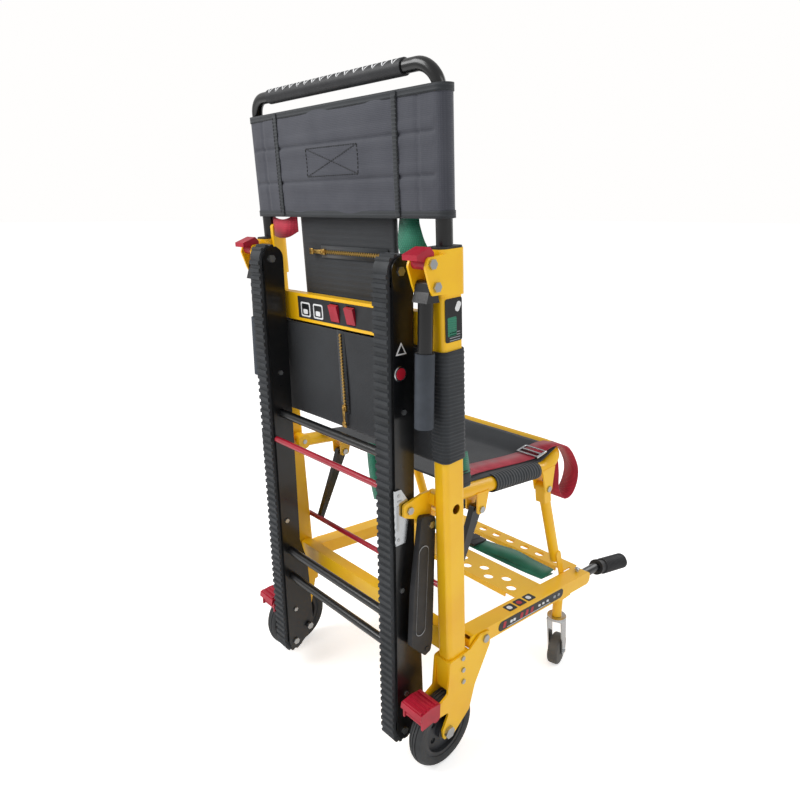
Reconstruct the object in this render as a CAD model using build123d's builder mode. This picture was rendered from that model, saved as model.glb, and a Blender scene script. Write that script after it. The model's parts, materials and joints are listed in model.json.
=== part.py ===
from build123d import *
import os
from math import atan2, cos, degrees, radians, sin, tan

# Tracked stair chair. Millimetres. +X is the patient's right, +Y is forward, +Z is up.
# Heights are from the floor and distances forward are from the rear axle, which stands
# AXLE_BACK behind the frame's origin. The back frame leans back about a line on the floor.

# ---- driving dimensions -------------------------------------------------------------------
AXLE_BACK = 287.2          # rear axle behind the origin, the middle of the overall length
WHEEL_D = 150.0            # rear wheels
WHEEL_W = 30.0
WHEEL_BORE_R = 8.0
AXLE_R = 7.94

UPRIGHT_X = 240.0          # centre of each upright from the middle plane
UPRIGHT_W = 32.0           # section across
UPRIGHT_D = 47.0           # section fore and aft
UPRIGHT_CORNER = 9.0
UPRIGHT_WALL = 2.0
UPRIGHT_FOOT_Y = 40.8      # where the upright's centre line meets the floor
UPRIGHT_LEAN = 3.45        # degrees backwards
UPRIGHT_BASE = 160.0       # lower end, measured along the upright
UPRIGHT_TOP = 948.0
PLUG_HOLE_R = 9.0          # round hole in each upright's outer side
PLUG_HOLE_H = 526.0

COLLAR_BASE = UPRIGHT_TOP - 58.0
COLLAR_TOP = UPRIGHT_TOP + 12.0
COLLAR_WALL = 4.0
EAR_T = 4.0
LEVER_H = COLLAR_BASE + 52.0            # release lever's pivot, along the upright
LEVER_BACK = 48.0          # and behind its centre line
LIFT_H = COLLAR_BASE + 18.0             # rear lift handle's pivot
LIFT_BACK = 40.0
ANCHOR_H = COLLAR_TOP + 28.0           # top of the strap anchor post

EXT_TUBE_R = 13.0          # telescopic tubes of the push handle
EXT_TUBE_BASE = 760.0
HANDLE_R = 10.0            # push handle's bow
HANDLE_TOP = COLLAR_TOP + 254.0
EXT_TUBE_TOP = HANDLE_TOP - 68.0
HANDLE_SET_BACK = 10.0
HANDLE_BEND = 38.0
HANDLE_KINK = 46.0
GRIP_HALF = 178.0
GRIP_R = 12.5
COVER_BASE = COLLAR_TOP + 44.0
COVER_TOP = HANDLE_TOP - 30.0
CLOTH_T = 2.5
CLOTH_GAP = 0.4            # between a sling and the tube that it wraps

PANEL_BASE = 808.0
PANEL_H = 54.0
PANEL_D = 16.0
PANEL_BACK = 22.0
PANEL_PLATE_W = 226.0
PADDLE_X = (-14.0, 32.0)
PADDLE_W = 24.0
PADDLE_H = 34.0

BEAM_BASE = 225.0
BEAM_H = 48.0
BEAM_D = 24.0

BRACKET_T = 4.0
BRACKET_GAP = 1.5          # between a bracket plate and the wheel
HINGE_Y = 98.0             # lower frame's hinge
HINGE_Z = 229.0
PEDAL_Y = -38.0            # brake pedal's pivot
PEDAL_Z = 131.0

TRACK_W = 43.0
TRACK_SIDE = 23.0          # from a track to the upright: latch, ear and stowing arm
TRACK_IN = UPRIGHT_X - UPRIGHT_W / 2 - TRACK_SIDE - TRACK_W
TRACK_LEAN = 1.0
TRACK_FOOT_Y = -54.5
TRACK_LOW = 72.0           # lower pulley, along the track
TRACK_HIGH = UPRIGHT_TOP - 24.0  # upper pulley
PULLEY_R = 18.0
BELT_T = 5.0
TOOTH_H = 3.0
TOOTH_PITCH = 14.2
BELT_W = 33.0
PLATE_T = 4.0
TRACK_PIVOT_Y = -20.0
TRACK_PIVOT_Z = 97.0
CROSS_TUBE_R = 8.5
CROSS_TUBES = (615.0, 301.0, 238.0)
RED_BAR_H = 563.0
RED_BAR_R = 6.0

ARM_TOP_Y = -16.0          # stowing arm's pivot on the latch ear
ARM_TOP_Z = 493.0
ARM_LOW_Y = -23.0
ARM_LOW_Z = 247.0

SEAT_TUBE_R = 14.0
SEAT_SIDE = 5.0            # from a seat side tube to the upright
SEAT_X = UPRIGHT_X - UPRIGHT_W / 2 - SEAT_SIDE - SEAT_TUBE_R
SEAT_PIVOT_Y = 12.7
SEAT_PIVOT_Z = 525.0
SEAT_DIP_Y = 340.0         # where the side tube turns up to the front
SEAT_DIP_Z = 494.5
SEAT_FRONT_Y = 395.0
SEAT_FRONT_Z = 520.0
STRUT_TOP_Y = 340.0
STRUT_TOP_Z = 450.0
STRUT_LOW_Y = 424.0
STRUT_TANG = 50.0         # flat end of a strut, beside the rail
STRUT_LOW_Z = 206.0
STRUT_R = 11.5
BRACE_TOP_Y = 121.0
BRACE_TOP_Z = 475.0
LOCK_BAR_Z = 326.0
LOCK_BAR_R = 5.5

RAIL_W = 36.0
RAIL_SIDE = 1.5            # from a rail to the wheel bracket's outer plate
RAIL_H = 30.0
RAIL_WALL = 2.5
RAIL_DROP = 4.6            # degrees down towards the front
RAIL_REAR = -40.0          # along the rail from the hinge
RAIL_FRONT = 384.0
FRONT_PLATE_HOLES = 11
FRONT_PLATE_PITCH = 43.6
REAR_PLATE_PITCH = 31.5

CASTER_ALONG = 286.0       # caster stem along the rail from the hinge
CASTER_YAW = 14.5          # the fork's trail, turned about the stem from forward
CASTER_TRAIL = 20.0
CASTER_D = 70.0
CASTER_W = 24.0

FRONT_TUBE_R = 10.5
FRONT_GRIP_R = 15.0
FRONT_GRIP_DROP = 11.5     # degrees further down than the rail

PIN_R = 5.0
RUN = 0.05                 # radial running clearance of pins and shafts
GAP = 0.5                  # side clearance between moving pieces

SIDES = (-1, 1)
WHEEL_R = WHEEL_D / 2
TRACK_X = TRACK_IN + TRACK_W / 2
TRACK_OUT = TRACK_IN + TRACK_W
BRACKET_IN = max(WHEEL_W + 2 * BRACKET_GAP, UPRIGHT_W + 2 * GAP) / 2
RAIL_X = UPRIGHT_X + BRACKET_IN - RAIL_SIDE - RAIL_W / 2


# ---- frames of reference ------------------------------------------------------------------
def side(x, lean=0.0, foot_y=0.0):
    """Side-view plane at x: forward and up, leaning back about a foot on the floor."""
    a = radians(lean)
    return Plane(origin=(x, foot_y - AXLE_BACK, 0), x_dir=(0, cos(a), sin(a)), z_dir=(1, 0, 0))


def level(height, lean=0.0, foot_y=0.0):
    """Cross-section plane at a height along a leaning member: across and forward."""
    a = radians(lean)
    return Plane(
        origin=(0, foot_y - AXLE_BACK - height * sin(a), height * cos(a)),
        x_dir=(1, 0, 0),
        z_dir=(0, -sin(a), cos(a)),
    )


def back_side(x):
    return side(x, UPRIGHT_LEAN, UPRIGHT_FOOT_Y)


def back_level(height):
    return level(height, UPRIGHT_LEAN, UPRIGHT_FOOT_Y)


def track_side(x):
    return side(x, TRACK_LEAN, TRACK_FOOT_Y)


def rail_side(x):
    """Side-view plane whose origin is the lower frame's hinge, along the sloping rail."""
    a = radians(-RAIL_DROP)
    return Plane(
        origin=(x, HINGE_Y - AXLE_BACK, HINGE_Z),
        x_dir=(0, cos(a), sin(a)),
        z_dir=(1, 0, 0),
    )


def upright_y(z):
    """Distance of an upright's centre line forward of the axle at a height."""
    return UPRIGHT_FOOT_Y - tan(radians(UPRIGHT_LEAN)) * z


def finish(part, name):
    part.label = name
    export_step(part, f"parts/{name}.step")
    return part


os.makedirs("parts", exist_ok=True)


# ---- back frame ---------------------------------------------------------------------------
with BuildPart() as uprights:
    with BuildSketch(back_level(UPRIGHT_BASE)):
        with Locations((-UPRIGHT_X, 0), (UPRIGHT_X, 0)):
            RectangleRounded(UPRIGHT_W, UPRIGHT_D, UPRIGHT_CORNER)
            RectangleRounded(
                UPRIGHT_W - 2 * UPRIGHT_WALL,
                UPRIGHT_D - 2 * UPRIGHT_WALL,
                UPRIGHT_CORNER - UPRIGHT_WALL,
                mode=Mode.SUBTRACT,
            )
    extrude(amount=UPRIGHT_TOP - UPRIGHT_BASE)
    for s in SIDES:
        with BuildSketch(back_side(s * (UPRIGHT_X + UPRIGHT_W / 2))):
            with Locations((0, PLUG_HOLE_H)):
                Circle(PLUG_HOLE_R)
        extrude(amount=-s * UPRIGHT_WALL * 2, mode=Mode.SUBTRACT)
finish(uprights.part, "uprights")

# The collar clamps the top of an upright, guides the telescopic tube and carries two ears.
COLLAR_W = UPRIGHT_W + 2 * COLLAR_WALL
COLLAR_D = UPRIGHT_D + 2 * COLLAR_WALL
EAR_X = UPRIGHT_W / 2 + COLLAR_WALL - EAR_T / 2
with BuildPart() as collars:
    with BuildSketch(back_level(COLLAR_BASE)):
        with Locations((-UPRIGHT_X, 0), (UPRIGHT_X, 0)):
            RectangleRounded(COLLAR_W, COLLAR_D, UPRIGHT_CORNER + COLLAR_WALL)
    extrude(amount=COLLAR_TOP - COLLAR_BASE)
    with BuildSketch(back_level(COLLAR_BASE)):
        with Locations((-UPRIGHT_X, 0), (UPRIGHT_X, 0)):
            RectangleRounded(UPRIGHT_W, UPRIGHT_D, UPRIGHT_CORNER)
    extrude(amount=UPRIGHT_TOP - COLLAR_BASE, mode=Mode.SUBTRACT)
    with BuildSketch(back_level(COLLAR_BASE)):
        with Locations((-UPRIGHT_X, 0), (UPRIGHT_X, 0)):
            Circle(EXT_TUBE_R + GAP)
    extrude(amount=2 * (COLLAR_TOP - COLLAR_BASE), mode=Mode.SUBTRACT)
    for s in SIDES:
        for e in (-EAR_X, EAR_X):
            with BuildSketch(back_side(s * UPRIGHT_X + e)):
                with BuildLine():
                    Polyline(
                        (-UPRIGHT_D / 4, COLLAR_BASE + 4),
                        (-LIFT_BACK - 8, COLLAR_BASE + 6),
                        (-LIFT_BACK - 13, LIFT_H),
                        (-LEVER_BACK - 14, LEVER_H - 4),
                        (-LEVER_BACK - 8, LEVER_H + 10),
                        (-UPRIGHT_D / 4, COLLAR_TOP - 6),
                        close=True,
                    )
                make_face()
                fillet(vertices().sort_by(Axis.X)[:2], 6)
                with Locations((-LEVER_BACK, LEVER_H), (-LIFT_BACK, LIFT_H)):
                    Circle(PIN_R, mode=Mode.SUBTRACT)
            extrude(amount=EAR_T / 2, both=True)
    # strap anchor post on the inner side of the left collar
    with BuildSketch(back_side(-UPRIGHT_X + COLLAR_W / 2 - 1)):
        with Locations((-2, (COLLAR_BASE + ANCHOR_H) / 2 + 20)):
            RectangleRounded(20, ANCHOR_H - COLLAR_BASE - 40, 6)
    extrude(amount=9)
finish(collars.part, "collars")

with BuildPart() as panel_beam:
    with BuildSketch(back_level(PANEL_BASE)):
        with BuildLine():
            Polyline(
                (-UPRIGHT_X + UPRIGHT_W / 2, -8),
                (-UPRIGHT_X + UPRIGHT_W / 2 + 26, -PANEL_BACK),
                (UPRIGHT_X - UPRIGHT_W / 2 - 26, -PANEL_BACK),
                (UPRIGHT_X - UPRIGHT_W / 2, -8),
                (UPRIGHT_X - UPRIGHT_W / 2, 8),
                (UPRIGHT_X - UPRIGHT_W / 2 - 30, PANEL_D - PANEL_BACK),
                (-UPRIGHT_X + UPRIGHT_W / 2 + 30, PANEL_D - PANEL_BACK),
                (-UPRIGHT_X + UPRIGHT_W / 2, 8),
                close=True,
            )
        make_face()
        fillet(vertices().group_by(Axis.Y)[0], 20)
    extrude(amount=PANEL_H)
    # recess that the black control plate and the two paddles sit in
    with BuildSketch(back_level(PANEL_BASE + (PANEL_H - 42) / 2)):
        with Locations((-18, -PANEL_BACK + 4)):
            Rectangle(PANEL_PLATE_W, 8)
    extrude(amount=42, mode=Mode.SUBTRACT)
finish(panel_beam.part, "panel_beam")

with BuildPart() as panel_plate:
    with BuildSketch(back_level(PANEL_BASE + (PANEL_H - 42) / 2 + GAP)):
        with Locations((-18, -PANEL_BACK + 3)):
            Rectangle(PANEL_PLATE_W - 2 * GAP, 8)
    extrude(amount=42 - 2 * GAP)
    with BuildSketch(back_level(PANEL_BASE + (PANEL_H - PADDLE_H) / 2 - GAP)):
        with Locations(*[(x, -PANEL_BACK) for x in PADDLE_X]):
            Rectangle(PADDLE_W + 2 * GAP, 9)
    extrude(amount=PADDLE_H + 2 * GAP, mode=Mode.SUBTRACT)
finish(panel_plate.part, "panel_plate")

# Each paddle rocks on its lower edge, inside its pocket in the plate.
PADDLE_FOOT = PANEL_BASE + (PANEL_H - PADDLE_H) / 2
for x, name in zip(PADDLE_X, ("release_paddle_left", "release_paddle_right")):
    with BuildPart() as paddle:
        with BuildSketch(back_side(x - PADDLE_W / 2)):
            with BuildLine():
                Polyline(
                    (-PANEL_BACK + 3, PADDLE_FOOT + 1),
                    (-PANEL_BACK - 2, PADDLE_FOOT + 1),
                    (-PANEL_BACK - 8, PADDLE_FOOT + PADDLE_H - 3),
                    (-PANEL_BACK - 2, PADDLE_FOOT + PADDLE_H - 1),
                    close=True,
                )
            make_face()
        extrude(amount=PADDLE_W)
    finish(paddle.part, name)

with BuildPart() as lower_beam:
    with BuildSketch(back_level(BEAM_BASE)):
        RectangleRounded(2 * (UPRIGHT_X - UPRIGHT_W / 2), BEAM_D, 4)
    extrude(amount=BEAM_H)
finish(lower_beam.part, "lower_beam")

# Yellow fork at each foot: a socket round the upright and a plate on each side of the wheel.
# The outer plate runs forward to the lower frame's hinge and back to the pedal's pivot.
SOCKET_TOP = 224.0
SOCKET_W = 2 * (BRACKET_IN + BRACKET_T)
with BuildPart() as wheel_brackets:
    with BuildSketch(back_level(UPRIGHT_BASE)):
        with Locations((-UPRIGHT_X, 0), (UPRIGHT_X, 0)):
            RectangleRounded(SOCKET_W, UPRIGHT_D + 2 * BRACKET_T, UPRIGHT_CORNER)
    extrude(amount=SOCKET_TOP - UPRIGHT_BASE)
    with BuildSketch(back_level(UPRIGHT_BASE)):
        with Locations((-UPRIGHT_X, 0), (UPRIGHT_X, 0)):
            RectangleRounded(UPRIGHT_W, UPRIGHT_D, UPRIGHT_CORNER)
    extrude(amount=SOCKET_TOP - UPRIGHT_BASE, mode=Mode.SUBTRACT)
    for s in SIDES:
        with BuildSketch(side(s * (UPRIGHT_X + BRACKET_IN + BRACKET_T / 2))):
            with BuildLine():
                Polyline(
                    (0, 224),
                    (54, 226),
                    (HINGE_Y - 16, HINGE_Z + 14),
                    (HINGE_Y + 15, HINGE_Z + 10),
                    (HINGE_Y + 14, HINGE_Z - 20),
                    (72, 140),
                    (58, 92),
                    (16, WHEEL_R - 14),
                    (-12, WHEEL_R - 12),
                    (-16, WHEEL_R + 10),
                    (2, 118),
                    (PEDAL_Y - 9, PEDAL_Z - 9),
                    (PEDAL_Y - 9, PEDAL_Z + 8),
                    (-4, 158),
                    close=True,
                )
            make_face()
            fillet(vertices(), 5)
            with Locations((0, WHEEL_R)):
                Circle(AXLE_R, mode=Mode.SUBTRACT)
            with Locations((HINGE_Y, HINGE_Z), (PEDAL_Y, PEDAL_Z)):
                Circle(PIN_R, mode=Mode.SUBTRACT)
        extrude(amount=BRACKET_T / 2, both=True)
        with BuildSketch(side(s * (UPRIGHT_X - BRACKET_IN - BRACKET_T / 2))):
            with BuildLine():
                Polyline(
                    (0, 222),
                    (44, 222),
                    (46, 160),
                    (30, 92),
                    (16, WHEEL_R - 14),
                    (-12, WHEEL_R - 12),
                    (TRACK_PIVOT_Y - 12, TRACK_PIVOT_Z - 6),
                    (PEDAL_Y - 9, PEDAL_Z - 9),
                    (PEDAL_Y - 9, PEDAL_Z + 8),
                    (-4, 158),
                    close=True,
                )
            make_face()
            fillet(vertices(), 5)
            with Locations((0, WHEEL_R)):
                Circle(AXLE_R, mode=Mode.SUBTRACT)
            with Locations((PEDAL_Y, PEDAL_Z), (TRACK_PIVOT_Y, TRACK_PIVOT_Z)):
                Circle(PIN_R, mode=Mode.SUBTRACT)
        extrude(amount=BRACKET_T / 2, both=True)
finish(wheel_brackets.part, "wheel_brackets")

# Yellow ear on the inner rear corner of each upright: it carries the pin that the track's
# latch closes on and the pivot of the stowing arm.
EAR_IN = TRACK_OUT + 5.5
EAR_OUT = EAR_IN + 5.0
ARM_T = UPRIGHT_X - UPRIGHT_W / 2 - EAR_OUT - 3 * GAP
ARM_X = EAR_OUT + GAP + ARM_T / 2
LATCH_PIN_Y = -58.0
LATCH_PIN_Z = 529.0
with BuildPart() as latch_ears:
    for s in SIDES:
        with BuildSketch(side(s * (EAR_IN + EAR_OUT) / 2)):
            with BuildLine():
                Polyline(
                    (-6, 480),
                    (-6, 550),
                    (-30, 550),
                    (LATCH_PIN_Y - 13, LATCH_PIN_Z + 12),
                    (LATCH_PIN_Y - 13, LATCH_PIN_Z - 10),
                    (-42, 508),
                    (-30, 480),
                    close=True,
                )
            make_face()
            fillet(vertices(), 5)
        extrude(amount=(EAR_OUT - EAR_IN) / 2, both=True)
        with BuildSketch(side(s * (EAR_OUT + UPRIGHT_X - UPRIGHT_W / 2) / 2)):
            with Locations((-8.5, 537)):
                RectangleRounded(7, 22, 2)
        extrude(amount=(UPRIGHT_X - UPRIGHT_W / 2 - EAR_OUT) / 2, both=True)
finish(latch_ears.part, "latch_ears")


# ---- pins, bolts and rivets of the back frame ----------------------------------------------
def pin(plane_of, x_from, x_to, at, radius=PIN_R):
    """A round pin between two distances from the middle plane, on both sides of the chair."""
    for s in SIDES:
        with BuildSketch(plane_of(s * x_from)) as outline:
            with Locations(at):
                Circle(radius)
        extrude(outline.sketch, amount=s * (x_to - x_from))


def head(plane_of, x_from, at, radius, height):
    """A hexagon head on a face, on both sides of the chair."""
    for s in SIDES:
        with BuildSketch(plane_of(s * x_from)) as outline:
            with Locations(at):
                RegularPolygon(radius, 6)
        extrude(outline.sketch, amount=s * height)


COLLAR_OUT = UPRIGHT_X + COLLAR_W / 2
COLLAR_IN = UPRIGHT_X - COLLAR_W / 2
BRACKET_OUT = UPRIGHT_X + BRACKET_IN + BRACKET_T
RAIL_OUT = RAIL_X + RAIL_W / 2
RAIL_IN = RAIL_X - RAIL_W / 2
BRACKET_INNER = UPRIGHT_X - BRACKET_IN - BRACKET_T
with BuildPart() as frame_fasteners:
    for at in ((-LEVER_BACK, LEVER_H), (-LIFT_BACK, LIFT_H)):
        pin(back_side, COLLAR_IN, COLLAR_OUT, at)
        head(back_side, COLLAR_OUT, at, PIN_R * 1.6, 4)
        head(back_side, COLLAR_IN - 4, at, PIN_R * 1.6, 4)
    pin(side, RAIL_OUT - RAIL_WALL - 2, BRACKET_OUT, (HINGE_Y, HINGE_Z))
    head(side, BRACKET_OUT, (HINGE_Y, HINGE_Z), PIN_R * 1.7, 4)
    for h in (166, 192, 218):
        head(back_side, BRACKET_OUT, (6, h), 5, 3)
    pin(side, EAR_IN - 3.5, EAR_IN, (LATCH_PIN_Y, LATCH_PIN_Z), 4)
    pin(side, EAR_OUT, ARM_X + ARM_T / 2, (ARM_TOP_Y, ARM_TOP_Z))
    head(side, ARM_X + ARM_T / 2, (ARM_TOP_Y, ARM_TOP_Z), 7, 1.5)
    head(side, EAR_OUT, (LATCH_PIN_Y, LATCH_PIN_Z), 7, 4)
    pin(side, SEAT_X - SEAT_TUBE_R, UPRIGHT_X - UPRIGHT_W / 2, (SEAT_PIVOT_Y, SEAT_PIVOT_Z))
    pin(side, TRACK_IN - 4, BRACKET_INNER + BRACKET_T, (TRACK_PIVOT_Y, TRACK_PIVOT_Z))
    head(side, TRACK_IN - 8, (TRACK_PIVOT_Y, TRACK_PIVOT_Z), 8, 4)
finish(frame_fasteners.part, "frame_fasteners")

with BuildPart() as upright_caps:
    with BuildSketch(back_level(COLLAR_TOP)):
        with Locations((-UPRIGHT_X, 0), (UPRIGHT_X, 0)):
            RectangleRounded(COLLAR_W - 3, COLLAR_D - 4, UPRIGHT_CORNER + 2)
            Circle(EXT_TUBE_R + GAP, mode=Mode.SUBTRACT)
    extrude(amount=3)
finish(upright_caps.part, "upright_caps")

# ---- rear wheels and brake pedals ----------------------------------------------------------
with BuildPart() as rear_axles:
    pin(side, BRACKET_INNER, BRACKET_OUT, (0, WHEEL_R), AXLE_R)
    head(side, BRACKET_OUT, (0, WHEEL_R), 12, 6)
    head(side, BRACKET_INNER - 5, (0, WHEEL_R), 12, 5)
finish(rear_axles.part, "rear_axles")

TYRE_IN_R = WHEEL_R - 21
for s, name in zip(SIDES, ("left", "right")):
    wheel_centre = Plane(origin=(s * UPRIGHT_X, -AXLE_BACK, WHEEL_R), x_dir=(0, 1, 0), z_dir=(1, 0, 0))
    with BuildPart() as tyre:
        with BuildSketch(Plane(origin=(s * UPRIGHT_X, -AXLE_BACK, WHEEL_R), x_dir=(1, 0, 0), z_dir=(0, -1, 0))):
            with BuildLine():
                Polyline(
                    (-WHEEL_W / 2 + 2, TYRE_IN_R),
                    (-WHEEL_W / 2, TYRE_IN_R + 6),
                    (-WHEEL_W / 2, WHEEL_R - 7),
                )
                ThreePointArc((-WHEEL_W / 2, WHEEL_R - 7), (0, WHEEL_R), (WHEEL_W / 2, WHEEL_R - 7))
                Polyline(
                    (WHEEL_W / 2, WHEEL_R - 7),
                    (WHEEL_W / 2, TYRE_IN_R + 6),
                    (WHEEL_W / 2 - 2, TYRE_IN_R),
                    (-WHEEL_W / 2 + 2, TYRE_IN_R),
                )
            make_face()
            with Locations((-6, WHEEL_R), (0, WHEEL_R), (6, WHEEL_R)):
                Rectangle(1.6, 5, mode=Mode.SUBTRACT)
        revolve(axis=Axis((0, -AXLE_BACK, WHEEL_R), (1, 0, 0)))
    finish(tyre.part, f"rear_tyre_{name}")
    with BuildPart() as hub:
        with BuildSketch(wheel_centre):
            Circle(TYRE_IN_R)
            Circle(TYRE_IN_R - 8, mode=Mode.SUBTRACT)
        extrude(amount=WHEEL_W / 2 - 3, both=True)
        with BuildSketch(wheel_centre):
            Circle(TYRE_IN_R - 6)
        extrude(amount=4, both=True)
        with BuildSketch(wheel_centre):
            Circle(19)
        extrude(amount=WHEEL_W / 2, both=True)
        with BuildSketch(wheel_centre):
            Circle(WHEEL_BORE_R)
            with PolarLocations(30, 5):
                Circle(6)
        extrude(amount=WHEEL_W, both=True, mode=Mode.SUBTRACT)
    finish(hub.part, f"rear_hub_{name}")

PEDAL_W = SOCKET_W + 10
PEDAL_ARM_X = BRACKET_IN + BRACKET_T + GAP + 2
for s, name in zip(SIDES, ("left", "right")):
    with BuildPart() as pedal:
        with BuildSketch(side(s * UPRIGHT_X)):
            with BuildLine():
                Polyline(
                    (PEDAL_Y - 42, PEDAL_Z + 16),
                    (PEDAL_Y - 40, PEDAL_Z + 27),
                    (PEDAL_Y - 14, PEDAL_Z + 30),
                    (PEDAL_Y + 9, PEDAL_Z + 26),
                    (PEDAL_Y + 9, PEDAL_Z + 21),
                    (PEDAL_Y - 30, PEDAL_Z + 20),
                    close=True,
                )
            make_face()
        extrude(amount=PEDAL_W / 2, both=True)
        with BuildSketch(side(s * UPRIGHT_X)):
            with Locations(*[(PEDAL_Y - 36 + 9 * i, PEDAL_Z + 28) for i in range(5)]):
                Rectangle(4, 6)
        extrude(amount=PEDAL_W / 2 - 3, both=True)
        for e in (-PEDAL_ARM_X, PEDAL_ARM_X):
            with BuildSketch(side(s * UPRIGHT_X + e)):
                with BuildLine():
                    Polyline(
                        (PEDAL_Y - 9, PEDAL_Z - 4),
                        (PEDAL_Y - 36, PEDAL_Z - 6),
                        (PEDAL_Y - 36, PEDAL_Z + 21),
                        (PEDAL_Y + 9, PEDAL_Z + 22),
                        (PEDAL_Y + 9, PEDAL_Z - 4),
                        close=True,
                    )
                make_face()
                with Locations((PEDAL_Y, PEDAL_Z)):
                    Circle(9)
            extrude(amount=2, both=True)
        with BuildSketch(side(s * UPRIGHT_X)):
            with Locations((PEDAL_Y - 29, PEDAL_Z + 1)):
                Circle(5)
        extrude(amount=PEDAL_ARM_X, both=True)
        for e in (-1, 1):
            with BuildSketch(side(s * UPRIGHT_X + e * (BRACKET_IN - 0.5))):
                with Locations((PEDAL_Y, PEDAL_Z)):
                    Circle(PIN_R - RUN)
            extrude(amount=e * (PEDAL_ARM_X - BRACKET_IN))
    finish(pedal.part, f"brake_pedal_{name}")

# ---- push handle, head cover and slings ----------------------------------------------------
with BuildPart() as push_handle:
    with BuildSketch(back_level(EXT_TUBE_BASE)):
        with Locations((-UPRIGHT_X, 0), (UPRIGHT_X, 0)):
            Circle(EXT_TUBE_R)
            Circle(HANDLE_R, mode=Mode.SUBTRACT)
    extrude(amount=EXT_TUBE_TOP - EXT_TUBE_BASE)
    with BuildSketch(back_level(EXT_TUBE_TOP)):
        with Locations((-UPRIGHT_X, 0), (UPRIGHT_X, 0)):
            Circle(EXT_TUBE_R)
    extrude(amount=-12)
    with BuildLine() as bow:
        FilletPolyline(
            *[
                back_level(h).from_local_coords(Vector(x, d, 0))
                for x, d, h in (
                    (-UPRIGHT_X, 0, EXT_TUBE_TOP),
                    (-UPRIGHT_X, 0, HANDLE_TOP - HANDLE_KINK),
                    (-UPRIGHT_X, -HANDLE_SET_BACK, HANDLE_TOP),
                    (UPRIGHT_X, -HANDLE_SET_BACK, HANDLE_TOP),
                    (UPRIGHT_X, 0, HANDLE_TOP - HANDLE_KINK),
                    (UPRIGHT_X, 0, EXT_TUBE_TOP),
                )
            ],
            radius=(60, HANDLE_BEND, HANDLE_BEND, 60),
        )
    with BuildSketch(back_level(EXT_TUBE_TOP)):
        with Locations((-UPRIGHT_X, 0)):
            Circle(HANDLE_R)
    sweep(path=bow.wire())
finish(push_handle.part, "push_handle")

with BuildPart() as push_grip:
    bar = back_level(HANDLE_TOP).from_local_coords(Vector(0, -HANDLE_SET_BACK, 0))
    with BuildSketch(Plane(origin=bar, x_dir=(0, 1, 0), z_dir=(1, 0, 0))):
        Circle(GRIP_R)
        Circle(HANDLE_R, mode=Mode.SUBTRACT)
    extrude(amount=GRIP_HALF, both=True)
finish(push_grip.part, "push_grip")


def band(half_width, half_depth, corner, base, top):
    """A cloth band pulled round both sides of the back, as one closed loop."""
    with BuildSketch(back_level(base)) as outline:
        RectangleRounded(2 * (half_width + CLOTH_T), 2 * (half_depth + CLOTH_T), corner + CLOTH_T)
        RectangleRounded(2 * half_width, 2 * half_depth, corner, mode=Mode.SUBTRACT)
    extrude(outline.sketch, amount=top - base)


with BuildPart() as head_cover:
    cover_d = EXT_TUBE_R + 2 * CLOTH_GAP
    band(UPRIGHT_X + cover_d, cover_d, cover_d - CLOTH_GAP, COVER_BASE, COVER_TOP)
finish(head_cover.part, "head_cover")

SLING_BASE = 616.0
SLING_TOP = 804.0
SLING_UPPER_HALF = 130.0
with BuildPart() as back_sling:
    band(
        UPRIGHT_X + UPRIGHT_W / 2 + CLOTH_GAP,
        UPRIGHT_D / 2 + CLOTH_GAP,
        UPRIGHT_CORNER,
        SLING_BASE,
        SLING_TOP,
    )
finish(back_sling.part, "back_sling")
with BuildPart() as upper_sling:
    with BuildSketch(back_level(SLING_TOP + 1)):
        with Locations((0, 4)):
            RectangleRounded(2 * SLING_UPPER_HALF, 8, 3)
    extrude(amount=COVER_BASE + 16 - SLING_TOP)
finish(upper_sling.part, "upper_sling")

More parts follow.
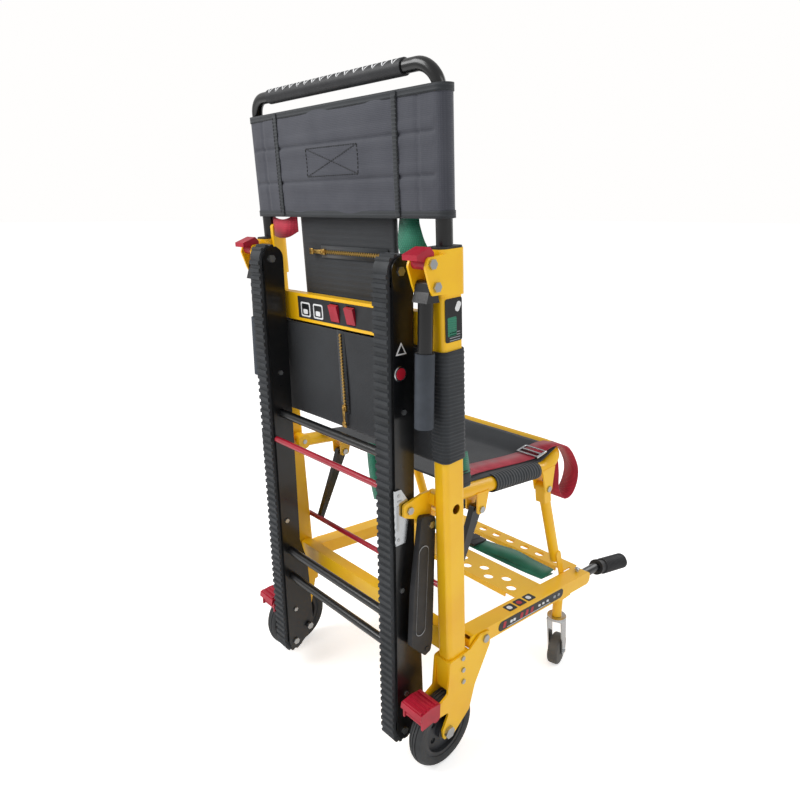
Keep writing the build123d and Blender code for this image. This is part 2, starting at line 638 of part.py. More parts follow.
# ---- rear lift handles and release levers ---------------------------------------------------
LIFT_FOOT = back_level(LIFT_H).from_local_coords(Vector(0, -LIFT_BACK, 0))
LIFT_Y = LIFT_FOOT.Y + AXLE_BACK
LIFT_Z = LIFT_FOOT.Z
LIFT_HALF = EAR_X - EAR_T / 2 - GAP
for s, name in zip(SIDES, ("left", "right")):
    with BuildPart() as lift_handle:
        with BuildSketch(side(s * UPRIGHT_X)):
            with BuildLine():
                Polyline(
                    (LIFT_Y - 9, LIFT_Z + 4),
                    (LIFT_Y + 9, LIFT_Z + 4),
                    (LIFT_Y + 9, LIFT_Z - 16),
                    (LIFT_Y + 12, LIFT_Z - 24),
                    (LIFT_Y - 16, LIFT_Z - 24),
                    (LIFT_Y - 11, LIFT_Z - 8),
                    close=True,
                )
            make_face()
            with Locations((LIFT_Y, LIFT_Z)):
                Circle(9)
                Circle(PIN_R + RUN, mode=Mode.SUBTRACT)
        extrude(amount=LIFT_HALF, both=True)
        with BuildSketch(Plane(origin=(s * UPRIGHT_X, LIFT_Y - 2 - AXLE_BACK, LIFT_Z - 24))):
            Circle(12)
        extrude(amount=-190)
    finish(lift_handle.part, f"lift_handle_{name}")
    with BuildPart() as lift_grip:
        with BuildSketch(Plane(origin=(s * UPRIGHT_X, LIFT_Y - 2 - AXLE_BACK, LIFT_Z - 102))):
            Circle(15.5)
            Circle(12, mode=Mode.SUBTRACT)
        extrude(amount=-112)
        with BuildSketch(Plane(origin=(s * UPRIGHT_X, LIFT_Y - 2 - AXLE_BACK, LIFT_Z - 214))):
            Circle(15.5)
        extrude(amount=-8)
    finish(lift_grip.part, f"lift_grip_{name}")
    with BuildPart() as lever:
        with BuildSketch(back_side(s * UPRIGHT_X)):
            with BuildLine():
                Polyline(
                    (-LEVER_BACK + 8, LEVER_H - 4),
                    (-LEVER_BACK + 9, LEVER_H + 16),
                    (-LEVER_BACK + 2, LEVER_H + 24),
                    (-LEVER_BACK - 26, LEVER_H + 15),
                    (-LEVER_BACK - 26, LEVER_H + 7),
                    (-LEVER_BACK - 10, LEVER_H + 4),
                    close=True,
                )
            make_face()
            with Locations((-LEVER_BACK, LEVER_H)):
                Circle(9)
                Circle(PIN_R + RUN, mode=Mode.SUBTRACT)
        extrude(amount=LIFT_HALF, both=True)
    finish(lever.part, f"release_lever_{name}")

# ---- tracks -------------------------------------------------------------------------------
LATCH_X = TRACK_OUT + 2.4
LATCH_T = 2.8
LATCH_PIVOT = (-72.0, 478.0)
BELT_IN_R = PULLEY_R + 0.3
BELT_OUT_R = BELT_IN_R + BELT_T
TRACK_RUN = TRACK_HIGH - TRACK_LOW
TRACK_HALF_D = BELT_OUT_R + TOOTH_H
PIVOT_IN_TRACK = track_side(0).to_local_coords(
    Vector(0, TRACK_PIVOT_Y - AXLE_BACK, TRACK_PIVOT_Z)
)
with BuildPart() as track_plates:
    for s in SIDES:
        for x in (TRACK_IN + PLATE_T / 2, TRACK_OUT - PLATE_T / 2):
            with BuildSketch(track_side(s * x)):
                with BuildLine():
                    Polyline(
                        (-PULLEY_R + 1, TRACK_HIGH),
                        (-PULLEY_R + 1, TRACK_LOW),
                        (-PULLEY_R + 6, TRACK_LOW - 14),
                        (6, TRACK_LOW - 20),
                        (PIVOT_IN_TRACK.X + 10, PIVOT_IN_TRACK.Y - 14),
                        (PIVOT_IN_TRACK.X + 13, PIVOT_IN_TRACK.Y + 8),
                        (42, 262),
                        (TRACK_HALF_D, 318),
                        (TRACK_HALF_D, TRACK_HIGH),
                        close=True,
                    )
                make_face()
                fillet(vertices().sort_by(Axis.Y)[:4], 5)
                with Locations((4, TRACK_HIGH)):
                    Circle(TRACK_HALF_D - 4)
                with Locations((PIVOT_IN_TRACK.X, PIVOT_IN_TRACK.Y)):
                    Circle(PIN_R + RUN, mode=Mode.SUBTRACT)
                with Locations((0, TRACK_LOW), (0, TRACK_HIGH)):
                    Circle(PIN_R, mode=Mode.SUBTRACT)
            extrude(amount=PLATE_T / 2, both=True)
finish(track_plates.part, "track_plates")

# Each belt is a closed loop of rubber with a row of teeth outside, between its two plates.
TOOTH_COUNT = int(TRACK_RUN // TOOTH_PITCH)
with BuildSketch() as loop:
    SlotCenterToCenter(TRACK_RUN, 2 * BELT_OUT_R, rotation=90)
    SlotCenterToCenter(TRACK_RUN, 2 * BELT_IN_R, rotation=90, mode=Mode.SUBTRACT)
    for e in SIDES:
        with Locations((e * (BELT_OUT_R + TOOTH_H / 2 - 0.5), 0)):
            with GridLocations(1, TRACK_RUN / TOOTH_COUNT, 1, TOOTH_COUNT):
                Trapezoid(TRACK_RUN / TOOTH_COUNT * 0.66, TOOTH_H + 1, 70, rotation=-90 * e)
        with Locations((0, e * TRACK_RUN / 2)):
            with PolarLocations(BELT_OUT_R + TOOTH_H / 2 - 0.5, 5, 20 if e > 0 else 200, 140):
                Trapezoid(8, TOOTH_H + 1, 70, rotation=-90)
with BuildPart() as belts:
    for s in SIDES:
        with BuildSketch(track_side(s * TRACK_X)):
            with Locations((0, (TRACK_LOW + TRACK_HIGH) / 2)):
                add(loop.sketch)
        extrude(amount=BELT_W / 2, both=True)
finish(belts.part, "track_belts")

for h, name in ((TRACK_HIGH, "upper"), (TRACK_LOW, "lower")):
    with BuildPart() as pulleys:
        for s in SIDES:
            with BuildSketch(track_side(s * TRACK_X)):
                with Locations((0, h)):
                    Circle(PULLEY_R)
                    Circle(PIN_R + RUN, mode=Mode.SUBTRACT)
            extrude(amount=BELT_W / 2, both=True)
    finish(pulleys.part, f"track_pulleys_{name}")

# Cross tubes join the inner plates; the red bar is the lifting bar of the track frame.
with BuildPart() as track_cross_tubes:
    for h in CROSS_TUBES:
        with BuildSketch(track_side(-TRACK_IN)):
            with Locations((2, h)):
                Circle(CROSS_TUBE_R)
                Circle(CROSS_TUBE_R - 2, mode=Mode.SUBTRACT)
        extrude(amount=2 * TRACK_IN)
finish(track_cross_tubes.part, "track_cross_tubes")
with BuildPart() as track_red_bar:
    with BuildSketch(track_side(-TRACK_IN)):
        with Locations((-14, RED_BAR_H)):
            Circle(RED_BAR_R)
    extrude(amount=2 * TRACK_IN)
finish(track_red_bar.part, "track_red_bar")

# A slide bar behind each belt's run keeps it straight, between the plates.
with BuildPart() as belt_slides:
    for s in SIDES:
        with BuildSketch(track_side(s * TRACK_X)):
            with Locations((0, (TRACK_LOW + TRACK_HIGH) / 2)):
                Rectangle(2 * BELT_IN_R - 2, TRACK_RUN - 2 * PULLEY_R - 12)
                Rectangle(2 * BELT_IN_R - 14, TRACK_RUN - 2 * PULLEY_R - 12, mode=Mode.SUBTRACT)
        extrude(amount=TRACK_W / 2 - PLATE_T, both=True)
finish(belt_slides.part, "belt_slides")

with BuildPart() as track_bolts:
    for at in ((0, TRACK_LOW), (0, TRACK_HIGH)):
        pin(track_side, TRACK_IN, TRACK_OUT, at)
        head(track_side, TRACK_OUT, at, 7.5, 2.5)
        head(track_side, TRACK_IN - 4, at, 7.5, 4)
    for at in ((4, 153), (-4, 375), (4, 700)):
        head(track_side, TRACK_OUT, at, 5, 2)
        head(track_side, TRACK_IN - 3, at, 5, 3)
    pin(side, TRACK_OUT, LATCH_X - LATCH_T / 2, LATCH_PIVOT, 6)
finish(track_bolts.part, "track_bolts")

for s, name in zip(SIDES, ("left", "right")):
    with BuildPart() as arm:
        with BuildSketch(side(s * ARM_X)):
            with BuildLine():
                Polyline(
                    (ARM_TOP_Y - 24, ARM_TOP_Z + 22),
                    (ARM_TOP_Y + 8, ARM_TOP_Z + 14),
                    (ARM_TOP_Y + 9, ARM_TOP_Z - 10),
                    (ARM_LOW_Y + 14, ARM_LOW_Z + 14),
                    (ARM_LOW_Y + 10, ARM_LOW_Z - 8),
                    (ARM_LOW_Y - 4, ARM_LOW_Z - 13),
                    (ARM_LOW_Y - 38, ARM_LOW_Z + 22),
                    (ARM_LOW_Y - 34, ARM_LOW_Z + 130),
                    close=True,
                )
            make_face()
            fillet(vertices(), 6)
            with Locations((ARM_TOP_Y, ARM_TOP_Z)):
                Circle(PIN_R + RUN, mode=Mode.SUBTRACT)
            with Locations((ARM_LOW_Y, ARM_LOW_Z)):
                Circle(PIN_R, mode=Mode.SUBTRACT)
        extrude(amount=ARM_T / 2, both=True)
        # lower pin, which rides in the slot of the track's plate
        with BuildSketch(side(s * (ARM_X + ARM_T / 2 + 1.5))):
            with Locations((ARM_LOW_Y, ARM_LOW_Z)):
                Circle(PIN_R)
        extrude(amount=s * (TRACK_OUT + 1.5 - ARM_X - ARM_T / 2 - 1.5))
    finish(arm.part, f"stowing_arm_{name}")

for s, name in zip(SIDES, ("left", "right")):
    with BuildPart() as latch:
        with BuildSketch(side(s * LATCH_X)):
            with BuildLine():
                Polyline(
                    (LATCH_PIVOT[0] - 10, LATCH_PIVOT[1] - 10),
                    (LATCH_PIVOT[0] + 12, LATCH_PIVOT[1] - 10),
                    (LATCH_PIN_Y + 4, LATCH_PIN_Z - 18),
                    (LATCH_PIN_Y + 4, LATCH_PIN_Z - 10),
                    (LATCH_PIN_Y - 4.6, LATCH_PIN_Z - 9),
                    (LATCH_PIN_Y - 4.6, LATCH_PIN_Z + 5.8),
                    (LATCH_PIN_Y + 6, LATCH_PIN_Z + 5.8),
                    (LATCH_PIN_Y + 4, LATCH_PIN_Z + 14),
                    (LATCH_PIVOT[0], LATCH_PIN_Z + 40),
                    (LATCH_PIVOT[0] - 14, LATCH_PIN_Z + 40),
                    close=True,
                )
            make_face()
        extrude(amount=LATCH_T / 2, both=True)
    finish(latch.part, f"track_latch_{name}")

# ---- seat ----------------------------------------------------------------------------------
STEM_L = 58.0
FORK_CROWN = 6.0


def point(x, y, z):
    """A point from its distance forward of the axle and its height."""
    return Vector(x, y - AXLE_BACK, z)


SEAT_PATH = (
    point(-SEAT_X, SEAT_PIVOT_Y, SEAT_PIVOT_Z),
    point(-SEAT_X, SEAT_DIP_Y, SEAT_DIP_Z),
    point(-SEAT_X, SEAT_FRONT_Y, SEAT_FRONT_Z),
    point(SEAT_X, SEAT_FRONT_Y, SEAT_FRONT_Z),
    point(SEAT_X, SEAT_DIP_Y, SEAT_DIP_Z),
    point(SEAT_X, SEAT_PIVOT_Y, SEAT_PIVOT_Z),
)
SEAT_ALONG = SEAT_PATH[1] - SEAT_PATH[0]
SEAT_SLOPE = degrees(atan2(SEAT_ALONG.Z, SEAT_ALONG.Y))


def seat_side(x):
    """Side-view plane along the seat's side tube, from the seat's pivot."""
    a = radians(SEAT_SLOPE)
    return Plane(
        origin=point(x, SEAT_PIVOT_Y, SEAT_PIVOT_Z),
        x_dir=(0, cos(a), sin(a)),
        z_dir=(1, 0, 0),
    )


SEAT_HUB_R = SEAT_TUBE_R + 2
with BuildPart() as seat_frame:
    with BuildLine() as seat_line:
        FilletPolyline(*SEAT_PATH, radius=(50, 40, 40, 50))
    with BuildSketch(Plane(origin=SEAT_PATH[0], z_dir=SEAT_ALONG)):
        Circle(SEAT_TUBE_R)
    sweep(path=seat_line.wire())
    for s in SIDES:
        with BuildSketch(side(s * SEAT_X)):
            with Locations((SEAT_PIVOT_Y, SEAT_PIVOT_Z)):
                Circle(SEAT_HUB_R)
        extrude(amount=SEAT_TUBE_R - 1, both=True)
        with BuildSketch(side(s * SEAT_X)):
            with Locations((SEAT_PIVOT_Y, SEAT_PIVOT_Z)):
                Circle(PIN_R + RUN)
        extrude(amount=SEAT_TUBE_R + 1, both=True, mode=Mode.SUBTRACT)
finish(seat_frame.part, "seat_frame")

HANGER_T = 3.0
HANGER_X = STRUT_R + GAP + HANGER_T / 2
with BuildPart() as seat_hangers:
    for s in SIDES:
        for e in (-HANGER_X, HANGER_X):
            with BuildSketch(side(s * SEAT_X + e)):
                with BuildLine():
                    Polyline(
                        (STRUT_TOP_Y - 26, SEAT_DIP_Z + 2),
                        (STRUT_TOP_Y + 18, SEAT_DIP_Z + 4),
                        (STRUT_TOP_Y + 12, STRUT_TOP_Z - 8),
                        (STRUT_TOP_Y - 10, STRUT_TOP_Z - 8),
                        close=True,
                    )
                make_face()
                fillet(vertices().sort_by(Axis.Y)[:2], 6)
                with Locations((STRUT_TOP_Y, STRUT_TOP_Z)):
                    Circle(PIN_R, mode=Mode.SUBTRACT)
            extrude(amount=HANGER_T / 2, both=True)
            with BuildSketch(side(s * SEAT_X + e)):
                with BuildLine():
                    Polyline(
                        (BRACE_TOP_Y - 14, 511),
                        (BRACE_TOP_Y + 20, 509),
                        (BRACE_TOP_Y + 11, BRACE_TOP_Z - 8),
                        (BRACE_TOP_Y - 11, BRACE_TOP_Z - 8),
                        close=True,
                    )
                make_face()
                fillet(vertices().sort_by(Axis.Y)[:2], 6)
                with Locations((BRACE_TOP_Y, BRACE_TOP_Z)):
                    Circle(PIN_R, mode=Mode.SUBTRACT)
            extrude(amount=HANGER_T / 2, both=True)
        # the plates are welded to the tube, so its own space is left out of them
    add(seat_frame.part, mode=Mode.SUBTRACT)
finish(seat_hangers.part, "seat_hangers")

with BuildPart() as seat_bolts:
    for at in ((STRUT_TOP_Y, STRUT_TOP_Z), (BRACE_TOP_Y, BRACE_TOP_Z)):
        pin(side, SEAT_X - HANGER_X - HANGER_T / 2, SEAT_X + HANGER_X + HANGER_T / 2, at)
        head(side, SEAT_X + HANGER_X + HANGER_T / 2, at, 7, 3)
        head(side, SEAT_X - HANGER_X - HANGER_T / 2 - 3, at, 7, 3)
finish(seat_bolts.part, "seat_bolts")

# The seat's cloth lies on the side tubes, wraps round them and round the front tube.
SLING_R = SEAT_TUBE_R + CLOTH_GAP
SEAT_LENGTH = SEAT_ALONG.length
with BuildPart() as seat_sling:
    with BuildSketch(seat_side(0)):
        with BuildLine():
            Polyline(
                (48, SLING_R),
                (SEAT_LENGTH - 14, SLING_R),
                (SEAT_LENGTH + 40, SLING_R + 25),
                (SEAT_LENGTH + 40, SLING_R + 25 + CLOTH_T),
                (SEAT_LENGTH - 14, SLING_R + CLOTH_T + 0.4),
                (48, SLING_R + CLOTH_T),
                close=True,
            )
        make_face()
    extrude(amount=SEAT_X - SEAT_TUBE_R, both=True)
    for s in SIDES:
        with BuildSketch(Plane(origin=seat_side(s * SEAT_X).from_local_coords((150, 0, 0)), z_dir=SEAT_ALONG, x_dir=(1, 0, 0))):
            Circle(SLING_R + CLOTH_T)
            Circle(SLING_R, mode=Mode.SUBTRACT)
        extrude(amount=SEAT_LENGTH - 150 - 36)
        with BuildSketch(seat_side(s * (SEAT_X - SEAT_TUBE_R))):
            with Locations((48 + (SEAT_LENGTH - 72) / 2, SLING_R + CLOTH_T / 2)):
                Rectangle(SEAT_LENGTH - 72, CLOTH_T)
        extrude(amount=s * SEAT_TUBE_R)
finish(seat_sling.part, "seat_sling")

# ---- struts from the seat's front to the lower frame ----------------------------------------
STRUT = point(0, STRUT_LOW_Y, STRUT_LOW_Z) - point(0, STRUT_TOP_Y, STRUT_TOP_Z)
TANG_T = 3.0
TANG_X = SEAT_X + STRUT_R - TANG_T / 2 + 1.5
with BuildPart() as seat_struts:
    for s in SIDES:
        with BuildSketch(side(s * SEAT_X)):
            with Locations((STRUT_TOP_Y, STRUT_TOP_Z)):
                Circle(STRUT_R)
            with BuildLine():
                Polyline(
                    (STRUT_TOP_Y - STRUT_R, STRUT_TOP_Z),
                    (STRUT_TOP_Y + STRUT_R, STRUT_TOP_Z),
                    (STRUT_TOP_Y + STRUT_R + 6, STRUT_TOP_Z - 34),
                    (STRUT_TOP_Y - STRUT_R + 6, STRUT_TOP_Z - 34),
                    close=True,
                )
            make_face()
        extrude(amount=STRUT_R, both=True)
        with BuildSketch(Plane(origin=point(s * SEAT_X, STRUT_TOP_Y, STRUT_TOP_Z), z_dir=STRUT)):
            Circle(STRUT_R)
        extrude(amount=STRUT.length - STRUT_TANG)
        strut_plane = Plane(
            origin=point(s * TANG_X, STRUT_LOW_Y, STRUT_LOW_Z), x_dir=-STRUT, z_dir=(1, 0, 0)
        )
        with BuildSketch(strut_plane):
            with Locations((STRUT_TANG / 2 + 10, 0)):
                SlotOverall(STRUT_TANG + 36, 16)
        extrude(amount=TANG_T / 2, both=True)
        with BuildSketch(side(s * (TANG_X - TANG_T / 2))):
            with Locations((STRUT_LOW_Y, STRUT_LOW_Z)):
                RegularPolygon(6.5, 6)
        extrude(amount=-s * 4)
        with BuildSketch(side(s * SEAT_X)):
            with Locations((STRUT_TOP_Y, STRUT_TOP_Z)):
                Circle(PIN_R + RUN)
        extrude(amount=STRUT_R, both=True, mode=Mode.SUBTRACT)
finish(seat_struts.part, "seat_struts")

LOCK_BAR_Y = upright_y(LOCK_BAR_Z) + UPRIGHT_D / 2 + LOCK_BAR_R + 1
with BuildPart() as seat_braces:
    for s in SIDES:
        with BuildSketch(side(s * SEAT_X)):
            with BuildLine():
                Polyline(
                    (BRACE_TOP_Y - 11, BRACE_TOP_Z + 6),
                    (BRACE_TOP_Y + 11, BRACE_TOP_Z + 6),
                    (BRACE_TOP_Y + 11, BRACE_TOP_Z - 6),
                    (LOCK_BAR_Y + 10, LOCK_BAR_Z - 4),
                    (LOCK_BAR_Y - 4, LOCK_BAR_Z - 10),
                    (BRACE_TOP_Y - 22, BRACE_TOP_Z - 26),
                    close=True,
                )
            make_face()
            fillet(vertices(), 3)
            with Locations((BRACE_TOP_Y, BRACE_TOP_Z)):
                Circle(PIN_R + RUN, mode=Mode.SUBTRACT)
            with Locations((LOCK_BAR_Y, LOCK_BAR_Z)):
                Circle(LOCK_BAR_R, mode=Mode.SUBTRACT)
        extrude(amount=6, both=True)
finish(seat_braces.part, "seat_braces")
with BuildPart() as seat_lock_bar:
    with BuildSketch(side(-UPRIGHT_X)):
        with Locations((LOCK_BAR_Y, LOCK_BAR_Z)):
            Circle(LOCK_BAR_R)
    extrude(amount=2 * UPRIGHT_X)
finish(seat_lock_bar.part, "seat_lock_bar")

# ---- lower frame ---------------------------------------------------------------------------
RAIL_LENGTH = RAIL_FRONT - RAIL_REAR
RAIL_MID = (RAIL_FRONT + RAIL_REAR) / 2
SLEEVE_L = 60.0
with BuildPart() as lower_rails:
    for s in SIDES:
        with BuildSketch(rail_side(s * RAIL_X)):
            with Locations((RAIL_MID, 0)):
                RectangleRounded(RAIL_LENGTH, RAIL_H, 12)
        extrude(amount=RAIL_W / 2, both=True)
        with BuildSketch(rail_side(s * RAIL_X)):
            with Locations((RAIL_MID - 20, 0)):
                Rectangle(RAIL_LENGTH - 42, RAIL_H - 2 * RAIL_WALL)
        extrude(amount=RAIL_W / 2 - RAIL_WALL, both=True, mode=Mode.SUBTRACT)
        front = rail_side(s * RAIL_X)
        with BuildSketch(Plane(origin=front.from_local_coords((RAIL_FRONT + 1, 0, 0)), z_dir=front.x_dir)):
            Circle(FRONT_TUBE_R + GAP)
        extrude(amount=-60, mode=Mode.SUBTRACT)
        with BuildSketch(rail_side(s * RAIL_X)):
            Circle(PIN_R + RUN)
        extrude(amount=s * RAIL_W, mode=Mode.SUBTRACT)
        # caster stem, upright when the chair stands
        stem = rail_side(s * RAIL_X).from_local_coords((CASTER_ALONG, -RAIL_H / 2, 0))
        with BuildSketch(Plane(origin=(stem.X, stem.Y, stem.Z + 2))):
            Circle(STRUT_R - 1)
        extrude(amount=-STEM_L)
        with BuildSketch(Plane(origin=(stem.X, stem.Y, stem.Z + 2))):
            Rectangle(RAIL_W - 2, 44)
        extrude(amount=-8)
        with BuildSketch(Plane(origin=(stem.X, stem.Y, stem.Z + 2 - STEM_L))):
            Circle(PIN_R)
        extrude(amount=-FORK_CROWN - 4)
finish(lower_rails.part, "lower_rails")

def rail_top(x_dir=(1, 0, 0)):
    """Plane on the rails' top faces: across, and along from the hinge."""
    a = radians(RAIL_DROP)
    return Plane(
        origin=rail_side(0).from_local_coords((0, RAIL_H / 2, 0)),
        x_dir=x_dir,
        z_dir=(0, sin(a), cos(a)),
    )


PLATE_HALF = RAIL_IN - GAP / 5
FOOT_PLATE_T = 3.0
with BuildPart() as foot_plates:
    with BuildSketch(rail_top()):
        with Locations((0, RAIL_FRONT - 24)):
            Rectangle(2 * PLATE_HALF, 46)
            with GridLocations(FRONT_PLATE_PITCH, 1, FRONT_PLATE_HOLES - 2, 1):
                Circle(11, mode=Mode.SUBTRACT)
        # corner notches that the struts' flat ends swing through
        with Locations((-PLATE_HALF, RAIL_FRONT - 47), (PLATE_HALF, RAIL_FRONT - 47)):
            Rectangle(2 * (RAIL_IN - TANG_X + TANG_T / 2 + 1), 44, mode=Mode.SUBTRACT)
    extrude(amount=-FOOT_PLATE_T)
    with BuildSketch(rail_top()):
        with Locations((0, 192)):
            Rectangle(2 * PLATE_HALF, 88)
        with Locations((0, 196)):
            with GridLocations(REAR_PLATE_PITCH * 2, 1, 6, 1):
                Circle(11, mode=Mode.SUBTRACT)
        with Locations((0, 172)):
            with GridLocations(REAR_PLATE_PITCH * 2, 1, 7, 1):
                Circle(11, mode=Mode.SUBTRACT)
    extrude(amount=-FOOT_PLATE_T)
    # downturned edges that stiffen the plates
    for along in (RAIL_FRONT - 2.5, RAIL_FRONT - 45.5, 149.5, 234.5):
        with BuildSketch(rail_top()):
            with Locations((0, along)):
                Rectangle(2 * (SEAT_X - STRUT_R - 2), 3)
        extrude(amount=-12)
finish(foot_plates.part, "foot_plates")

CASTER_R = CASTER_D / 2
for s, name in zip(SIDES, ("left", "right")):
    stem = rail_side(s * RAIL_X).from_local_coords((CASTER_ALONG, -RAIL_H / 2, 0))
    crown = Plane(
        origin=(stem.X, stem.Y, stem.Z + 2 - STEM_L - GAP),
        x_dir=(cos(radians(90 + s * CASTER_YAW)), sin(radians(90 + s * CASTER_YAW)), 0),
        z_dir=(0, 0, 1),
    )
    # upright plane through the stem, along the trail: distance back along it, and height
    trail = Plane(origin=crown.origin, x_dir=crown.x_dir, z_dir=crown.x_dir.cross(Vector(0, 0, 1)))
    drop = CASTER_R - crown.origin.Z
    with BuildPart() as fork:
        with BuildSketch(crown):
            Circle(21)
            Circle(PIN_R + RUN, mode=Mode.SUBTRACT)
        extrude(amount=-FORK_CROWN)
        with BuildSketch(crown.offset(-FORK_CROWN)):
            Rectangle(30, CASTER_W + 12)
            Circle(PIN_R + RUN, mode=Mode.SUBTRACT)
        extrude(amount=-3)
        for e in SIDES:
            with BuildSketch(trail.offset(e * (CASTER_W / 2 + 4))):
                with BuildLine():
                    Polyline(
                        (-15, -FORK_CROWN),
                        (15, -FORK_CROWN),
                        (CASTER_TRAIL + 11, drop + 6),
                        (CASTER_TRAIL + 8, drop - 9),
                        (CASTER_TRAIL - 8, drop - 9),
                        (CASTER_TRAIL - 11, drop + 4),
                        close=True,
                    )
                make_face()
                fillet(vertices().sort_by(Axis.Z)[:4], 4)
            extrude(amount=1.5, both=True)
        with BuildSketch(trail.offset(-CASTER_W / 2 - 8)):
            with Locations((CASTER_TRAIL, drop)):
                Circle(PIN_R - 1)
        extrude(amount=CASTER_W + 16)
    finish(fork.part, f"caster_fork_{name}")
    with BuildPart() as caster:
        with BuildSketch(trail):
            with Locations((CASTER_TRAIL, drop)):
                Circle(CASTER_R)
        extrude(amount=CASTER_W / 2, both=True)
        fillet(edges().filter_by(GeomType.CIRCLE), 5)
        with BuildSketch(trail):
            with Locations((CASTER_TRAIL, drop)):
                Circle(9)
        extrude(amount=CASTER_W / 2 + 1.5, both=True)
        with BuildSketch(trail):
            with Locations((CASTER_TRAIL, drop)):
                Circle(PIN_R - 1 + RUN)
        extrude(amount=CASTER_W, both=True, mode=Mode.SUBTRACT)
    finish(caster.part, f"caster_wheel_{name}")

# ---- front lift handles ----------------------------------------------------------------------
FRONT_BEND = RAIL_FRONT + 53
FRONT_END = RAIL_FRONT + 184
for s, name in zip(SIDES, ("left", "right")):
    rail = rail_side(s * RAIL_X)
    tip_x = FRONT_BEND + (FRONT_END - FRONT_BEND) * cos(radians(FRONT_GRIP_DROP))
    tip_z = -(FRONT_END - FRONT_BEND) * sin(radians(FRONT_GRIP_DROP))
    route = [
        rail.from_local_coords(Vector(u, w, 0))
        for u, w in ((RAIL_FRONT - 55, 0), (FRONT_BEND, 0), (tip_x, tip_z))
    ]
    with BuildPart() as front_handle:
        with BuildLine() as front_line:
            FilletPolyline(*route, radius=40)
        with BuildSketch(Plane(origin=route[0], z_dir=rail.x_dir)):
            Circle(FRONT_TUBE_R)
        sweep(path=front_line.wire())
    finish(front_handle.part, f"front_handle_{name}")
    grip_dir = (route[2] - route[1]).normalized()
    with BuildPart() as front_grip:
        with BuildSketch(Plane(origin=route[1] + grip_dir * 5, z_dir=grip_dir)):
            Circle(FRONT_GRIP_R)
            Circle(FRONT_TUBE_R, mode=Mode.SUBTRACT)
        extrude(amount=FRONT_END - FRONT_BEND - 5)
        with BuildSketch(Plane(origin=route[1] + grip_dir * 5, z_dir=grip_dir)):
            Circle(FRONT_GRIP_R + 3)
            Circle(FRONT_TUBE_R, mode=Mode.SUBTRACT)
        extrude(amount=7)
        with BuildSketch(Plane(origin=route[2], z_dir=grip_dir)):
            Circle(FRONT_GRIP_R)
        extrude(amount=8)
    finish(front_grip.part, f"front_grip_{name}")

# ---- straps ----------------------------------------------------------------------------------
# Plain solids where the webbing lies: the seat belt along the seat's right side, and the
# leg strap across the lower frame between the two plates.
with BuildPart() as seat_belt:
    with BuildSketch(seat_side(SEAT_X - 42)):
        with Locations((200, SLING_R + CLOTH_T + 2.5)):
            Rectangle(220, 4)
    extrude(amount=22, both=True)
finish(seat_belt.part, "seat_belt")
with BuildPart() as leg_strap:
    with BuildSketch(rail_top().offset(1)):
        with Locations((0, 276)):
            Rectangle(2 * (RAIL_IN - 4), 44)
    extrude(amount=5)
finish(leg_strap.part, "leg_strap")
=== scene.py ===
# %% [markdown]
# # A tracked stair chair
# A stair chair carries a seated person down a stairwell. Two toothed belts run on the stair
# edges, four wheels roll on the flat, and cloth slings make the seat and the back.
# The hard parts come ready measured from the frame. This lesson adds the cloth, the straps,
# the trims and every finish, and lights the result like a catalogue page.

import json
import math

import bmesh
import bpy
from mathutils import Matrix, Vector


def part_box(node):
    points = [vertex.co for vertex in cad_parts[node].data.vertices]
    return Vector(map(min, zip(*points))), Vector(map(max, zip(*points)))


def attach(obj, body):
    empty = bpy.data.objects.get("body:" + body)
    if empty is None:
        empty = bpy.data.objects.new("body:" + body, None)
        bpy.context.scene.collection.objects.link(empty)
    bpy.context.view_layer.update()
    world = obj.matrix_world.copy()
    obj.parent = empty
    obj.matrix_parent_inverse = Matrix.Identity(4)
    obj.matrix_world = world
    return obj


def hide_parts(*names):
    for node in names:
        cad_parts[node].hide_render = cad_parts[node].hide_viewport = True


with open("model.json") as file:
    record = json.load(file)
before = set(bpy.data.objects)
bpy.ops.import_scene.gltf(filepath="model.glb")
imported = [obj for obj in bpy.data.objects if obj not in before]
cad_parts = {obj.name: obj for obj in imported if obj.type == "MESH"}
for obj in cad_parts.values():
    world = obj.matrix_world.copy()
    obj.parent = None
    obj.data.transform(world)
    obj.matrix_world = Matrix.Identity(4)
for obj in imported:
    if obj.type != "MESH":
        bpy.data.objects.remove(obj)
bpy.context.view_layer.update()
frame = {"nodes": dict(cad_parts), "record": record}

# %% [markdown]
# ## Places to work from
# The back frame, the seat, the tracks and the lower frame each lean their own way.
# A matrix for each one lets a piece be drawn square, in across, forward and up, and then be
# laid on its part in one step. The matrices come from the joints' own places and axes.

# %% Read joints and build the leaning frames
record = frame["record"]
joints = {j["name"]: j for j in record["behaviour"]["joints"]}
mounts = {m["name"]: m for m in record["mounts"]}
ACROSS = Vector((1, 0, 0))


def leaning(origin, up):
    """A frame with x across the chair and z along the given direction."""
    up = Vector(up).normalized()
    forward = up.cross(ACROSS).normalized()
    turn = Matrix((ACROSS, forward, up)).transposed().to_4x4()
    return Matrix.Translation(Vector(origin)) @ turn


hole = mounts["plug_hole_right"]["pos_m"]
PLUG_HEIGHT = 0.526
BACK_UP = Vector(joints["push_handle_slide"]["axis"]).normalized()
back = leaning(Vector((0, hole[1], hole[2])) - BACK_UP * PLUG_HEIGHT, BACK_UP)

low_pulley = Vector(joints["pulleys_lower_turn"]["pos_m"])
high_pulley = Vector(joints["pulleys_upper_turn"]["pos_m"])
track = leaning((0, low_pulley.y, low_pulley.z), high_pulley - low_pulley)

SEAT_FALL = math.radians(5.32)
seat_along = Vector((0, math.cos(SEAT_FALL), -math.sin(SEAT_FALL)))
seat = leaning(joints["seat_fold"]["pos_m"], ACROSS.cross(seat_along))

